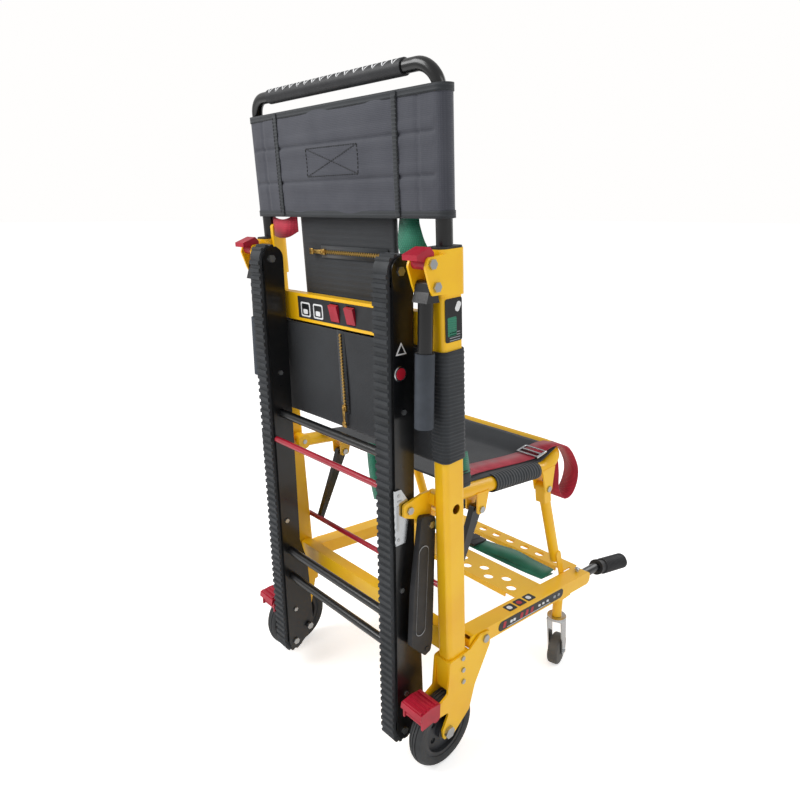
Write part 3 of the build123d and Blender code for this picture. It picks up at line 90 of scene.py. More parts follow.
rail_along = Vector(joints["front_handle_right_slide"]["axis"]).normalized()
rail = leaning(joints["lower_frame_fold"]["pos_m"], ACROSS.cross(rail_along))
print("back frame leans", round(math.degrees(math.asin(-BACK_UP.y)), 2), "degrees")

# %% [markdown]
# ## The camera
# It stands behind the chair, to the patient's right, about a metre above the floor.
# The direction back from the chair to the camera is given by an azimuth and an elevation,
# so the camera's three axes can be written down directly.

# %% Place the camera
CAMERA_PLACE = Vector((0.9198, -1.0317, 1.0121))
azimuth = math.radians(47.2)
elevation = math.radians(15.9)
roll = math.radians(0.1)
toward = Vector((
    math.sin(azimuth) * math.cos(elevation),
    -math.cos(azimuth) * math.cos(elevation),
    math.sin(elevation),
))
right = Vector((math.cos(azimuth), math.sin(azimuth), 0))
upward = toward.cross(right)
camera_data = bpy.data.cameras.new("camera")
camera_data.lens = 29.06
camera_data.sensor_width = 36.0
camera_data.shift_x = 0.0044
camera_data.shift_y = -0.007
camera = bpy.data.objects.new("camera", camera_data)
turn = Matrix((right, upward, toward)).transposed().to_4x4()
camera.matrix_world = Matrix.Translation(CAMERA_PLACE) @ turn @ Matrix.Rotation(roll, 4, "Z")
bpy.context.collection.objects.link(camera)
bpy.context.scene.camera = camera
print("camera", tuple(round(c, 3) for c in CAMERA_PLACE))

# %% [markdown]
# ## Floor and light
# A pale floor, a nearly white sky for soft fill, and three large area lamps.
# The key stands to the camera's left so that the rear faces shine and the sides stay darker.
# A weak rim lamp and a front lamp keep the far side from going flat. The sky is brighter to
# the camera than it is as a light, so the page stays white while the shadows keep their depth.

# %% Build the studio
def linear(code):
    """An sRGB hex colour as the linear values that a shader wants."""
    parts = [int(code[i:i + 2], 16) / 255 for i in (1, 3, 5)]
    lin = [p / 12.92 if p <= 0.04045 else ((p + 0.055) / 1.055) ** 2.4 for p in parts]
    return (*lin, 1.0)


world = bpy.data.worlds.new("studio")
world.use_nodes = True
SKY_SEEN, SKY_LIGHT = 1.0, 0.55
sky = world.node_tree.nodes["Background"]
sky.inputs["Color"].default_value = linear("#FFFEFD")
path_kind = world.node_tree.nodes.new("ShaderNodeLightPath")
sky_level = world.node_tree.nodes.new("ShaderNodeMapRange")
sky_level.inputs["To Min"].default_value = SKY_LIGHT
sky_level.inputs["To Max"].default_value = SKY_SEEN
world.node_tree.links.new(path_kind.outputs["Is Camera Ray"], sky_level.inputs["Value"])
world.node_tree.links.new(sky_level.outputs["Result"], sky.inputs["Strength"])
bpy.context.scene.world = world
bpy.context.scene.view_settings.view_transform = "Standard"

LAMPS = (
    ("key", (-1.2, -2.2, 2.6), 1.8, 60.0),
    ("rim", (2.6, 0.2, 2.0), 1.4, 12.0),
    ("front", (0.3, 2.6, 1.8), 1.6, 20.0),
)
for name, place, size, watts in LAMPS:
    lamp_data = bpy.data.lights.new(name, "AREA")
    lamp_data.energy = watts
    lamp_data.size = size
    lamp = bpy.data.objects.new(name, lamp_data)
    lamp.location = place
    aim = Vector((0, 0, 0.6)) - Vector(place)
    lamp.rotation_euler = aim.to_track_quat("-Z", "Y").to_euler()
    bpy.context.collection.objects.link(lamp)
print("lamps", len(LAMPS))

# %% [markdown]
# ## Small helpers for materials
# One function adds a node with its settings and links. Another starts a material from a
# principled shader. Patterns read Object coordinates, which are metres on this chair, so a
# scale is one over a real size.

# %% Helpers for materials
def add(material, kind, settings=None, links=None):
    """Adds one shader node, sets its values and joins its inputs."""
    tree = material.node_tree
    node = tree.nodes.new(kind)
    for key, value in (settings or {}).items():
        if isinstance(key, str) and hasattr(node, key):
            setattr(node, key, value)
        else:
            node.inputs[key].default_value = value
    for key, socket in (links or {}).items():
        tree.links.new(socket, node.inputs[key])
    return node


def begin(name, code, roughness, metallic=0.0, **sockets):
    """A new material: its shader, and the Object coordinates that patterns read."""
    material = bpy.data.materials.new(name)
    material.use_nodes = True
    shader = material.node_tree.nodes["Principled BSDF"]
    shader.inputs["Base Color"].default_value = linear(code)
    shader.inputs["Roughness"].default_value = roughness
    shader.inputs["Metallic"].default_value = metallic
    for key, value in sockets.items():
        shader.inputs[key.replace("_", " ")].default_value = value
    place = add(material, "ShaderNodeTexCoord").outputs["Object"]
    return material, shader, place


def ramp(material, factor, *stops):
    """Turns a pattern's value into colour, through stops of (position, hex colour)."""
    node = add(material, "ShaderNodeValToRGB", links={"Fac": factor})
    bar = node.color_ramp.elements
    while len(bar) < len(stops):
        bar.new(0.5)
    for element, (position, code) in zip(bar, stops):
        element.position = position
        element.color = linear(code)
    return node.outputs["Color"]


def noise(material, place, size, detail=2.0):
    """Soft noise whose lumps are about the given size in metres."""
    settings = {"Scale": 1 / size, "Detail": detail}
    return add(material, "ShaderNodeTexNoise", settings, {"Vector": place}).outputs["Fac"]


def ribs(material, place, pitch, direction):
    """Even ribs at a pitch in metres, across the given axis."""
    settings = {"bands_direction": direction, "Scale": 0.31416 / pitch}
    return add(material, "ShaderNodeTexWave", settings, {"Vector": place}).outputs["Fac"]


def colour_by(material, shader, factor, *stops):
    """Colours a surface by a pattern."""
    socket = ramp(material, factor, *stops)
    material.node_tree.links.new(socket, shader.inputs["Base Color"])


def rough_by(material, shader, factor, low, high):
    """Varies roughness between two values by a pattern."""
    settings = {"To Min": low, "To Max": high}
    node = add(material, "ShaderNodeMapRange", settings, {"Value": factor})
    material.node_tree.links.new(node.outputs["Result"], shader.inputs["Roughness"])


def relief(material, shader, height, depth, strength=1.0):
    """Raises a pattern from the surface by a depth in metres."""
    settings = {"Distance": depth, "Strength": strength}
    bump = add(material, "ShaderNodeBump", settings, {"Height": height})
    material.node_tree.links.new(bump.outputs["Normal"], shader.inputs["Normal"])


def both(material, operation, first, second):
    """Combines two patterns with one arithmetic step."""
    settings = {"operation": operation}
    return add(material, "ShaderNodeMath", settings, {0: first, 1: second}).outputs["Value"]


print("material helpers ready")

# %% [markdown]
# ## Paint and metal
# The frame is steel and aluminium tube with a baked yellow powder coat: a thick gloss film
# with a faint orange peel a millimetre or two across. Black and red parts carry the same
# kind of coat. Bolts are zinc plated and the casters and latches are chromed.

# %% Make the coats and metals
def powder_coat(name, light, dark, roughness, coat):
    """Baked powder paint: gloss, with orange peel and slow shifts of tone."""
    material, shader, place = begin(name, light, roughness, Coat_Weight=coat, Coat_Roughness=0.12)
    tone = noise(material, place, 0.09, 3.0)
    colour_by(material, shader, tone, (0.3, dark), (0.62, light))
    rough_by(material, shader, noise(material, place, 0.02, 4.0), roughness - 0.05, roughness + 0.1)
    relief(material, shader, noise(material, place, 0.0022, 1.0), 0.0002, 0.35)
    return material


yellow = powder_coat("yellow_powder_coat", "#FFC808", "#FABC04", 0.36, 0.25)
black_coat = powder_coat("black_gloss_powder_coat", "#0A0B0D", "#060708", 0.28, 0.35)
red_coat = powder_coat("red_gloss_powder_coat", "#B0142F", "#990F28", 0.3, 0.5)


def plated(name, code, roughness, grain):
    """Plated steel: a mirror broken by fine grain and handling marks."""
    material, shader, place = begin(name, code, roughness, 1.0)
    rough_by(material, shader, noise(material, place, 0.006, 5.0), roughness * 0.7, roughness * 1.6)
    relief(material, shader, noise(material, place, grain, 2.0), 0.0001, 0.3)
    return material


chrome = plated("bright_chrome_plate", "#C4C7CA", 0.16, 0.003)
zinc = plated("zinc_plated_steel", "#B9BCBE", 0.28, 0.0015)
brass = plated("brass_zip_teeth", "#C7A15A", 0.3, 0.002)
print("metals", [m.name for m in (chrome, zinc, brass)])

# %% [markdown]
# ## Plastic and rubber
# Levers, pedals and paddles are glass-filled nylon, moulded in red. Grips and covers are
# black with a fine sparked texture. Tyres, belts and sleeves are rubber, which is dull and
# picks up pale dust.

# %% Make the plastics and rubbers
def moulded(name, light, dark, roughness, grit, depth):
    """Moulded plastic or rubber: a fine grit with a slow change of tone."""
    material, shader, place = begin(name, light, roughness)
    colour_by(material, shader, noise(material, place, 0.03, 4.0), (0.35, dark), (0.65, light))
    rough_by(material, shader, noise(material, place, 0.012, 3.0), roughness - 0.06, roughness + 0.08)
    relief(material, shader, noise(material, place, grit, 2.0), depth, 0.5)
    return material


red_nylon = moulded("red_moulded_nylon", "#B81A35", "#A5142D", 0.38, 0.0015, 0.0001)
black_abs = moulded("black_sparked_abs", "#26272A", "#1D1E21", 0.5, 0.0012, 0.0002)
pulley_nylon = moulded("dark_grey_nylon", "#34363A", "#292B2E", 0.45, 0.0015, 0.0001)
sleeve_rubber = moulded("grey_sleeve_rubber", "#3D434C", "#333941", 0.62, 0.002, 0.0002)
belt_rubber = moulded("track_belt_rubber", "#303337", "#26292C", 0.62, 0.0018, 0.0003)
tyre_rubber = moulded("tyre_rubber", "#37393B", "#2B2D2F", 0.6, 0.002, 0.0002)
caster_rubber = moulded("grey_caster_rubber", "#5E5C58", "#4E4C49", 0.55, 0.002, 0.0002)
white_print = moulded("white_screen_print", "#ECEDEE", "#E2E3E5", 0.5, 0.002, 0.0001)
silver_print = moulded("silver_screen_print", "#9FA3A8", "#8F9398", 0.4, 0.002, 0.0001)
black_print = moulded("black_label_film", "#17181B", "#101114", 0.3, 0.003, 0.0001)
red_print = moulded("red_label_ink", "#C21E33", "#B0182C", 0.35, 0.003, 0.0001)
print("red nylon to label ink made")

# %% [markdown]
# ## Cloth and webbing
# The slings are coated polyester. Its threads are under a millimetre apart, too fine to
# show, so the weave is drawn about three times as coarse. Webbing is woven with ribs across
# the strap, and those do show.

# %% Make the cloths
WEAVE = 0.0026


def woven(name, light, dark, across, along, pitch=WEAVE, depth=0.0004, sheen=0.15):
    """A plain weave: two sets of ribs at right angles, with a dusty sheen."""
    material, shader, place = begin(name, light, 0.72, Sheen_Weight=sheen, Sheen_Roughness=0.5)
    warp = ribs(material, place, pitch, across)
    weft = ribs(material, place, pitch, along)
    cross = both(material, "MULTIPLY", warp, weft)
    patch = noise(material, place, 0.05, 4.0)
    shade = both(material, "ADD", both(material, "MULTIPLY", cross, patch), patch)
    colour_by(material, shader, shade, (0.35, dark), (0.95, light))
    relief(material, shader, cross, depth, 0.6)
    return material


cover_cloth = woven("slate_coated_polyester", "#454750", "#373943", "X", "Z")
sling_cloth = woven("charcoal_coated_polyester", "#23272C", "#1A1D22", "X", "Z")
seat_cloth = woven("charcoal_seat_polyester", "#363A3F", "#2B2F34", "X", "Y")
rib_cloth = woven("charcoal_ribbed_binding", "#2C3035", "#1F2327", "Z", "Z", 0.006, 0.0009)
sleeve_cloth = woven("ribbed_sleeve_cloth", "#33383D", "#24282C", "Y", "Y", 0.0085, 0.0012)
red_web = woven("red_polyester_webbing", "#C61F3E", "#A31530", "Y", "Z", 0.0035, 0.0007, 0.3)
green_web = woven("green_polyester_webbing", "#0C7E60", "#06654C", "X", "Z", 0.0035, 0.0007, 0.3)
thread = woven("dark_sewing_thread", "#1B1D21", "#141619", "X", "Z", 0.002, 0.0002)
print("cloths made")

# %% [markdown]
# ## Finish the hard parts
# Each hard node already has its true shape, so it only needs its finish. The list follows
# what each one is made of on the real chair.

# %% Give every hard node its finish
FINISHES = {
    yellow: (
        "uprights collars panel_beam lower_beam wheel_brackets latch_ears seat_frame "
        "seat_hangers seat_struts lower_rails foot_plates"
    ),
    black_coat: (
        "push_handle track_plates track_cross_tubes seat_braces "
        "front_handle_left front_handle_right lift_handle_left lift_handle_right"
    ),
    red_coat: "track_red_bar seat_lock_bar",
    red_nylon: (
        "release_paddle_left release_paddle_right release_lever_left release_lever_right "
        "brake_pedal_left brake_pedal_right"
    ),
    black_abs: (
        "panel_plate upright_caps stowing_arm_left stowing_arm_right front_grip_left "
        "front_grip_right belt_slides push_grip"
    ),
    pulley_nylon: "track_pulleys_upper track_pulleys_lower rear_hub_left rear_hub_right",
    sleeve_rubber: "lift_grip_left lift_grip_right",
    belt_rubber: "track_belts",
    tyre_rubber: "rear_tyre_left rear_tyre_right",
    caster_rubber: "caster_wheel_left caster_wheel_right",
    chrome: "caster_fork_left caster_fork_right track_latch_left track_latch_right",
    zinc: "frame_fasteners rear_axles track_bolts seat_bolts",
}
for material, names in FINISHES.items():
    for name in names.split():
        for slot in frame["nodes"][name].material_slots:
            slot.material = material
print("finished nodes", sum(len(names.split()) for names in FINISHES.values()))

# %% [markdown]
# ## Helpers for pieces
# A piece is drawn square, laid on its part by a matrix, and left with its object at the
# origin. Straps are an edge that is extruded along a smooth path, then given a thickness.

# %% Helpers for pieces
def piece(name, bm, material, body, place=None, thickness=0.0, smooth=True, offset=0.0):
    """Makes a bmesh into a finished object that rides on a body."""
    if place is not None:
        bmesh.ops.transform(bm, matrix=place, verts=bm.verts)
    bmesh.ops.recalc_face_normals(bm, faces=bm.faces)
    for face in bm.faces:
        face.smooth = smooth
    mesh = bpy.data.meshes.new(name)
    bm.to_mesh(mesh)
    bm.free()
    made = bpy.data.objects.new(name, mesh)
    made.data.materials.append(material)
    bpy.context.collection.objects.link(made)
    if thickness:
        wall = made.modifiers.new("wall", "SOLIDIFY")
        wall.thickness = thickness
        wall.offset = offset
        wall.use_even_offset = False
    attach(made, body)
    return made


def box_mesh(bm, size, centre, turn=None):
    """Adds one small block to a bmesh."""
    made = bmesh.ops.create_cube(bm, size=1.0)["verts"]
    bmesh.ops.scale(bm, vec=size, verts=made)
    if turn is not None:
        bmesh.ops.rotate(bm, cent=(0, 0, 0), matrix=turn, verts=made)
    bmesh.ops.translate(bm, vec=centre, verts=made)


def soften(bm, offset):
    """Rounds every edge of a bmesh a little."""
    bmesh.ops.bevel(
        bm, geom=bm.edges[:], offset=offset, offset_type="OFFSET", segments=2, profile=0.5,
        affect="EDGES", material=-1,
    )


def turn_about(bm, axis, degrees=90):
    """Turns a whole bmesh about an axis through the origin."""
    turn = Matrix.Rotation(math.radians(degrees), 3, axis)
    bmesh.ops.rotate(bm, cent=(0, 0, 0), matrix=turn, verts=bm.verts)


def rounded_plate(width, height, corner, depth):
    """A thin plate with rounded corners, flat in across and up, facing backwards."""
    bm = bmesh.new()
    bmesh.ops.create_grid(bm, x_segments=1, y_segments=1, size=0.5)
    bmesh.ops.scale(bm, vec=(width, height, 1), verts=bm.verts)
    bmesh.ops.bevel(
        bm, geom=bm.verts[:], offset=corner, segments=6, profile=0.5, affect="VERTICES", material=-1,
    )
    raised = bmesh.ops.extrude_face_region(bm, geom=bm.faces[:])["geom"]
    moved = [v for v in raised if isinstance(v, bmesh.types.BMVert)]
    bmesh.ops.translate(bm, vec=(0, 0, depth), verts=moved)
    turn_about(bm, "X")
    return bm


def smooth_path(points, steps=8):
    """Points along a smooth line through the given ones."""
    pts = [Vector(p) for p in points]
    ends = [2 * pts[0] - pts[1], *pts, 2 * pts[-1] - pts[-2]]
    line = []
    for a, b, c, d in zip(ends, ends[1:], ends[2:], ends[3:]):
        for i in range(steps):
            t = i / steps
            line.append(0.5 * (
                2 * b + (c - a) * t + (2 * a - 5 * b + 4 * c - d) * t * t
                + (3 * b - a - 3 * c + d) * t ** 3
            ))
    return [*line, pts[-1]]


def ribbon(points, across, width, steps=8):
    """A strap as an edge swept along a smooth path. across may change along the path."""
    line = smooth_path(points, steps)
    if isinstance(across, list):
        sides = smooth_path(across, steps)
    else:
        sides = [Vector(across)] * len(line)
    bm = bmesh.new()
    half = sides[0].normalized() * width / 2
    pair = [bm.verts.new(line[0] - half), bm.verts.new(line[0] + half)]
    edge = bm.edges.new(pair)
    ordered = pair
    for spot, side in zip(line[1:], sides[1:]):
        grown = bmesh.ops.extrude_edge_only(bm, edges=[edge])["geom"]
        fresh = [v for v in grown if isinstance(v, bmesh.types.BMVert)]
        half = side.normalized() * width / 2
        fresh.sort(key=lambda v: (v.co - ordered[0].co).length)
        fresh[0].co = spot - half
        fresh[1].co = spot + half
        edge = next(e for e in grown if isinstance(e, bmesh.types.BMEdge) and set(e.verts) == set(fresh))
        ordered = fresh
    return bm


WEB = 0.0018  # thickness of a strap's webbing


def strap(name, points, across, width, thickness, material, body, place=None, steps=8):
    """A strap of webbing, closed and with a thickness."""
    made = ribbon(points, across, width, steps)
    return piece(name, made, material, body, place, thickness)


print("piece helpers ready")

# %% [markdown]
# ## Cloth bands round the tubes
# The head cover and the back sling are bands of cloth that wrap both tubes. A block loses
# its top and bottom, its upright edges are rounded to fit the tubes, and cuts across it give
# enough points to pull in the seams and let the panels stand proud.

# %% Helper for a wrapped band
def band(half_width, half_depth, corner, low, high, columns, rows):
    """A closed band of cloth round the back frame, open at its top and bottom."""
    bm = bmesh.new()
    box_mesh(bm, (2 * half_width, 2 * half_depth, high - low), (0, 0, (low + high) / 2))
    ends = [f for f in bm.faces if abs(f.normal.z) > 0.5]
    bmesh.ops.delete(bm, geom=ends, context="FACES_ONLY")
    posts = [e for e in bm.edges if abs(e.verts[0].co.z - e.verts[1].co.z) > 0.01]
    bmesh.ops.bevel(
        bm, geom=posts, offset=corner, offset_type="OFFSET", segments=8, profile=0.5,
        affect="EDGES", material=-1,
    )
    wide = [e for e in bm.edges if abs(e.verts[0].co.x - e.verts[1].co.x) > half_width]
    bmesh.ops.subdivide_edges(bm, edges=wide, cuts=columns, use_grid_fill=True)
    posts = [e for e in bm.edges if abs(e.verts[0].co.z - e.verts[1].co.z) > 0.01]
    bmesh.ops.subdivide_edges(bm, edges=posts, cuts=rows, use_grid_fill=True)
    return bm


def dip(distance, width):
    """One in the middle of a seam, falling to nothing at its width."""
    return max(0.0, 1.0 - (distance / width) ** 2)


print("band helper ready")

# %% [markdown]
# ## The head cover
# Two side flaps fold over a centre panel and are sewn down with bound edges. Two quilted
# lines run across it at thirds of its height, and a crossed box of stitching anchors a strap
# inside. The cover slides with the push handle.

# %% Make the head cover
COVER_LOW, COVER_HIGH = 1.004, 1.184
COVER_HALF, COVER_DEEP = 0.2563, 0.0163
FLAP_SEAM, THIN_SEAM = 0.160, 0.206
QUILTS = [COVER_LOW + (COVER_HIGH - COVER_LOW) * k / 3 for k in (1, 2)]

bm = band(COVER_HALF, COVER_DEEP, 0.0158, COVER_LOW, COVER_HIGH, 127, 89)


def cover_height(x, z):
    """How far a panel of the head cover stands proud at a place."""
    edge_fade = max(0.0, min(1.0, (z - COVER_LOW) / 0.02, (COVER_HIGH - z) / 0.02))
    height = 0.0022 * math.cos(math.pi * x / (2 * COVER_HALF)) * edge_fade
    for quilt in QUILTS:
        height -= 0.0021 * dip(abs(z - quilt), 0.0042)
        height += 0.0008 * dip(abs(abs(z - quilt) - 0.011), 0.009)
    height -= 0.0014 * dip(abs(abs(x) - THIN_SEAM), 0.0045)
    return height + 0.0006 * math.sin(41 * x + 3) * math.sin(23 * z)


for v in bm.verts:
    if abs(v.co.x) > COVER_HALF - 0.016:
        continue
    side = 1 if v.co.y > 0 else -1
    v.co.y += side * cover_height(v.co.x, v.co.z)
head_cover = piece("head_cover_cloth", bm, cover_cloth, "push_handle", back, 0.0022, offset=-1)
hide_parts("head_cover")

bm = bmesh.new()
for x in (-FLAP_SEAM, FLAP_SEAM):
    for y in (-1, 1):
        centre = (x, y * (COVER_DEEP + 0.0024), (COVER_LOW + COVER_HIGH) / 2)
        box_mesh(bm, (0.011, 0.0022, COVER_HIGH - COVER_LOW - 0.002), centre)
soften(bm, 0.0007)
piece("head_cover_flap_binding", bm, rib_cloth, "push_handle", back)
for z, name in ((COVER_LOW + 0.0045, "low"), (COVER_HIGH - 0.0045, "high")):
    bm = band(COVER_HALF + 0.0009, COVER_DEEP + 0.0012, 0.0162, z - 0.0055, z + 0.0055, 60, 2)
    edging = piece(f"head_cover_binding_{name}", bm, rib_cloth, "push_handle", back, 0.0018, offset=-1)

# crossed box of stitching, and the stitches along the flaps
bm = bmesh.new()
BOX_HALF, BOX_LOW, BOX_HIGH = 0.070, 1.072, 1.118
corners = [(-BOX_HALF, BOX_LOW), (BOX_HALF, BOX_LOW), (BOX_HALF, BOX_HIGH), (-BOX_HALF, BOX_HIGH)]
seams = [(corners[i], corners[(i + 1) % 4]) for i in range(4)]
seams += [(corners[0], corners[2]), (corners[1], corners[3])]
for x in (-FLAP_SEAM - 0.004, FLAP_SEAM + 0.004):
    seams.append(((x, COVER_LOW + 0.006), (x, COVER_HIGH - 0.006)))


def stitches(bm, seams, depth_at, length=0.0042, gap=0.002, size=0.0011):
    """Rows of short threads, each along its seam and just proud of the cloth."""
    for (x0, z0), (x1, z1) in seams:
        run = math.hypot(x1 - x0, z1 - z0)
        count = max(1, int(run / (length + gap)))
        slant = Matrix.Rotation(-math.atan2(z1 - z0, x1 - x0), 3, "Y")
        for i in range(count):
            t = (i + 0.5) / count
            x, z = x0 + (x1 - x0) * t, z0 + (z1 - z0) * t
            box_mesh(bm, (length, size, size), (x, depth_at(x, z), z), slant)


def cover_rear(x, z):
    """Depth of the head cover's rear face, where the threads lie."""
    if abs(abs(x) - FLAP_SEAM) < 0.006:
        return -(COVER_DEEP + 0.0037)
    return -(COVER_DEEP + cover_height(x, z) + 0.0004)


stitches(bm, seams, cover_rear)
piece("head_cover_stitches", bm, thread, "push_handle", back, smooth=False)
print("head cover", tuple(round(c, 3) for c in head_cover.dimensions))

# %% [markdown]
# ## The push grip's marks
# The padded part of the bow carries a row of small pale V marks on its rear upper side.
# Each is a short ribbon that follows the round of the grip.

# %% Make the chevrons
GRIP_RADIUS = 0.0125
grip_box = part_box("push_grip")
grip_centre = (Vector(grip_box[0]) + Vector(grip_box[1])) / 2
bar = back.inverted() @ grip_centre
CHEVRONS, ROW_HALF = 16, 0.164
for i in range(CHEVRONS):
    x = -ROW_HALF + 2 * ROW_HALF * i / (CHEVRONS - 1)
    points = []
    for step, degrees_up in ((-0.0062, 62), (-0.0031, 42), (0.0, 20), (0.0031, 42), (0.0062, 62)):
        angle = math.radians(degrees_up)
        reach = GRIP_RADIUS + 0.0002
        points.append((x + step, bar.y - reach * math.cos(angle), bar.z + reach * math.sin(angle)))
    name = f"grip_chevron_{i + 1:02d}"
    mark = strap(name, points, ACROSS, 0.0030, 0.0004, white_print, "push_handle", back, 1)
print("chevrons", CHEVRONS)

# %% [markdown]
# ## The back sling
# The lower band wraps the uprights with a ribbed sleeve at each side, and its rear layer
# has an upright zip at the middle. The patient's back pushes the front layer in a little.

# %% Make the back sling
SLING_LOW, SLING_HIGH = 0.616, 0.804
SLING_HALF, SLING_DEEP = 0.2589, 0.0264
FREE_HALF = 0.222  # half of the cloth that hangs free between the sleeves
UPRIGHT_X = 0.240
bm = band(SLING_HALF, SLING_DEEP, 0.0115, SLING_LOW, SLING_HIGH, 111, 40)
for v in bm.verts:
    inside = max(0.0, 1 - (v.co.x / FREE_HALF) ** 2)
    if inside == 0:
        continue
    middle = math.sin(math.pi * (v.co.z - SLING_LOW) / (SLING_HIGH - SLING_LOW))
    if v.co.y > 0:
        v.co.y -= 0.010 * inside * (0.5 + 0.5 * middle)
        v.co.y += 0.0007 * math.sin(36 * v.co.x) * math.sin(31 * v.co.z)
    else:
        v.co.y += 0.004 * inside * (0.6 + 0.4 * middle)
        v.co.y += 0.0009 * math.sin(29 * v.co.x + 1) * math.sin(27 * v.co.z + 2)
back_sling = piece("back_sling_cloth", bm, sling_cloth, "back_frame", back, 0.0022, offset=-1)
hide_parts("back_sling")

for side, name in ((-1, "left"), (1, "right")):
    bm = band(0.0192, 0.0267, 0.0118, SLING_LOW + 0.001, SLING_HIGH - 0.001, 5, 60)
    bmesh.ops.translate(bm, vec=(side * UPRIGHT_X, 0, 0), verts=bm.verts)
    for v in bm.verts:
        wave = 0.5 + 0.5 * math.sin(2 * math.pi * (v.co.z - SLING_LOW) / 0.0094)
        away = Vector((v.co.x - side * UPRIGHT_X, v.co.y, 0)).normalized()
        v.co += away * 0.0011 * wave
    sleeve = piece(f"back_sling_sleeve_{name}", bm, rib_cloth, "back_frame", back, 0.001, offset=-1)
print("back sling", tuple(round(c, 3) for c in back_sling.dimensions))

# %% [markdown]
# ## Zips
# A coil of brass teeth sits between two tapes, with a slider and a pull at one end.
# The teeth are small blocks in two rows that mesh, on one mesh for the whole zip.

# %% Helper that makes a zip
def zip_fastener(name, start, end, depth, body, place):
    """A zip between two points in across and up, on a rear face at a depth."""
    start, end = Vector((start[0], 0, start[1])), Vector((end[0], 0, end[1]))
    run = end - start
    slant = math.atan2(run.z, run.x)
    lay = Matrix.Translation((start.x, depth, start.z)) @ Matrix.Rotation(-slant, 4, "Y")
    bm = bmesh.new()
    box_mesh(bm, (run.length + 0.01, 0.0012, 0.022), (run.length / 2, 0.0008, 0))
    tape = piece(f"{name}_tape", bm, rib_cloth, body, place @ lay)
    bm = bmesh.new()
    pitch = 0.0030
    count = int(run.length / pitch)
    for i in range(count):
        x = (i + 0.5) * run.length / count
        z = 0.0010 if i % 2 else -0.0010
        box_mesh(bm, (0.0021, 0.0026, 0.0046), (x, -0.0010, z))
    piece(f"{name}_teeth", bm, brass, body, place @ lay, smooth=False)
    bm = bmesh.new()
    box_mesh(bm, (0.012, 0.0052, 0.010), (0.004, -0.0018, 0))
    box_mesh(bm, (0.007, 0.0040, 0.005), (0.004, -0.0050, 0))
    box_mesh(bm, (0.026, 0.0014, 0.007), (-0.012, -0.0050, 0))
    box_mesh(bm, (0.010, 0.0030, 0.011), (-0.028, -0.0050, 0))
    soften(bm, 0.0006)
    piece(f"{name}_slider", bm, brass, body, place @ lay)


zip_fastener("back_sling_zip", (0.0, 0.652), (0.0, 0.800), -0.0250, "back_frame", back)
print("zip made")

# %% [markdown]
# ## The upper sling
# A narrower panel fills the gap between the control beam and the head cover. Ribbed bands
# of webbing cross it, and a brass zip opens the pocket behind it.

# %% Make the upper sling
UPPER_LOW, UPPER_HIGH, UPPER_HALF = 0.806, 1.019, 0.130
bm = bmesh.new()
box_mesh(bm, (2 * UPPER_HALF, 0.0075, UPPER_HIGH - UPPER_LOW), (0, 0.004, (UPPER_LOW + UPPER_HIGH) / 2))
wide = [e for e in bm.edges if abs(e.verts[0].co.x - e.verts[1].co.x) > 0.1]
bmesh.ops.subdivide_edges(bm, edges=wide, cuts=40, use_grid_fill=True)
tall = [e for e in bm.edges if abs(e.verts[0].co.z - e.verts[1].co.z) > 0.1]
bmesh.ops.subdivide_edges(bm, edges=tall, cuts=70, use_grid_fill=True)
for v in bm.verts:
    fall = max(0.0, 1 - (v.co.x / UPPER_HALF) ** 4)
    if v.co.y < 0.004:
        wave = 0.5 + 0.5 * math.sin(2 * math.pi * (v.co.z - UPPER_LOW) / 0.0105)
        v.co.y -= 0.0013 * wave * fall
    else:
        v.co.y += 0.001 * fall
upper_sling = piece("upper_sling_cloth", bm, sling_cloth, "back_frame", back)
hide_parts("upper_sling")
zip_fastener("upper_sling_zip", (-0.064, 0.941), (0.110, 0.941), -0.0030, "back_frame", back)
print("upper sling", tuple(round(c, 3) for c in upper_sling.dimensions))

# %% [markdown]
# ## The seat sling
# The seat is a sheet stretched between the side tubes, wrapped round them in sleeves and
# turned up at the front. A stretched sheet still sags under its own weight, about ten
# millimetres in the middle.

# %% Make the seat sling
SEAT_TUBE = 0.014
SEAT_HALF = 0.205
SEAT_REAR, SEAT_END = 0.048, 0.3287
DECK = SEAT_TUBE + 0.0029
TURN_UP, TURN_START, SAG = 0.036, 0.016, 0.0105
SLEEVE_START, SLEEVE_SHORT = 0.150, 0.034
bm = bmesh.new()
bmesh.ops.create_grid(bm, x_segments=48, y_segments=44, size=0.5)
for v in bm.verts:
    t = v.co.y + 0.5
    x = v.co.x * 2 * SEAT_HALF
    y = SEAT_REAR + t * (SEAT_END + TURN_UP - SEAT_REAR)
    z = DECK
    if y > SEAT_END - TURN_START:
        z += (y - SEAT_END + TURN_START) * 0.455
    span = max(0.0, 1 - (x / (SEAT_HALF - 0.006)) ** 2)
    along = math.sin(math.pi * min(1.0, t / 0.92)) if t < 0.92 else 0.0
    z -= SAG * span * along
    z += 0.0005 * math.sin(38 * x + 2) * math.sin(33 * y) * span
    v.co = (x, y, z)
seat_deck = piece("seat_sling_cloth", bm, seat_cloth, "seat", seat, 0.0024, offset=-1)
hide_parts("seat_sling")

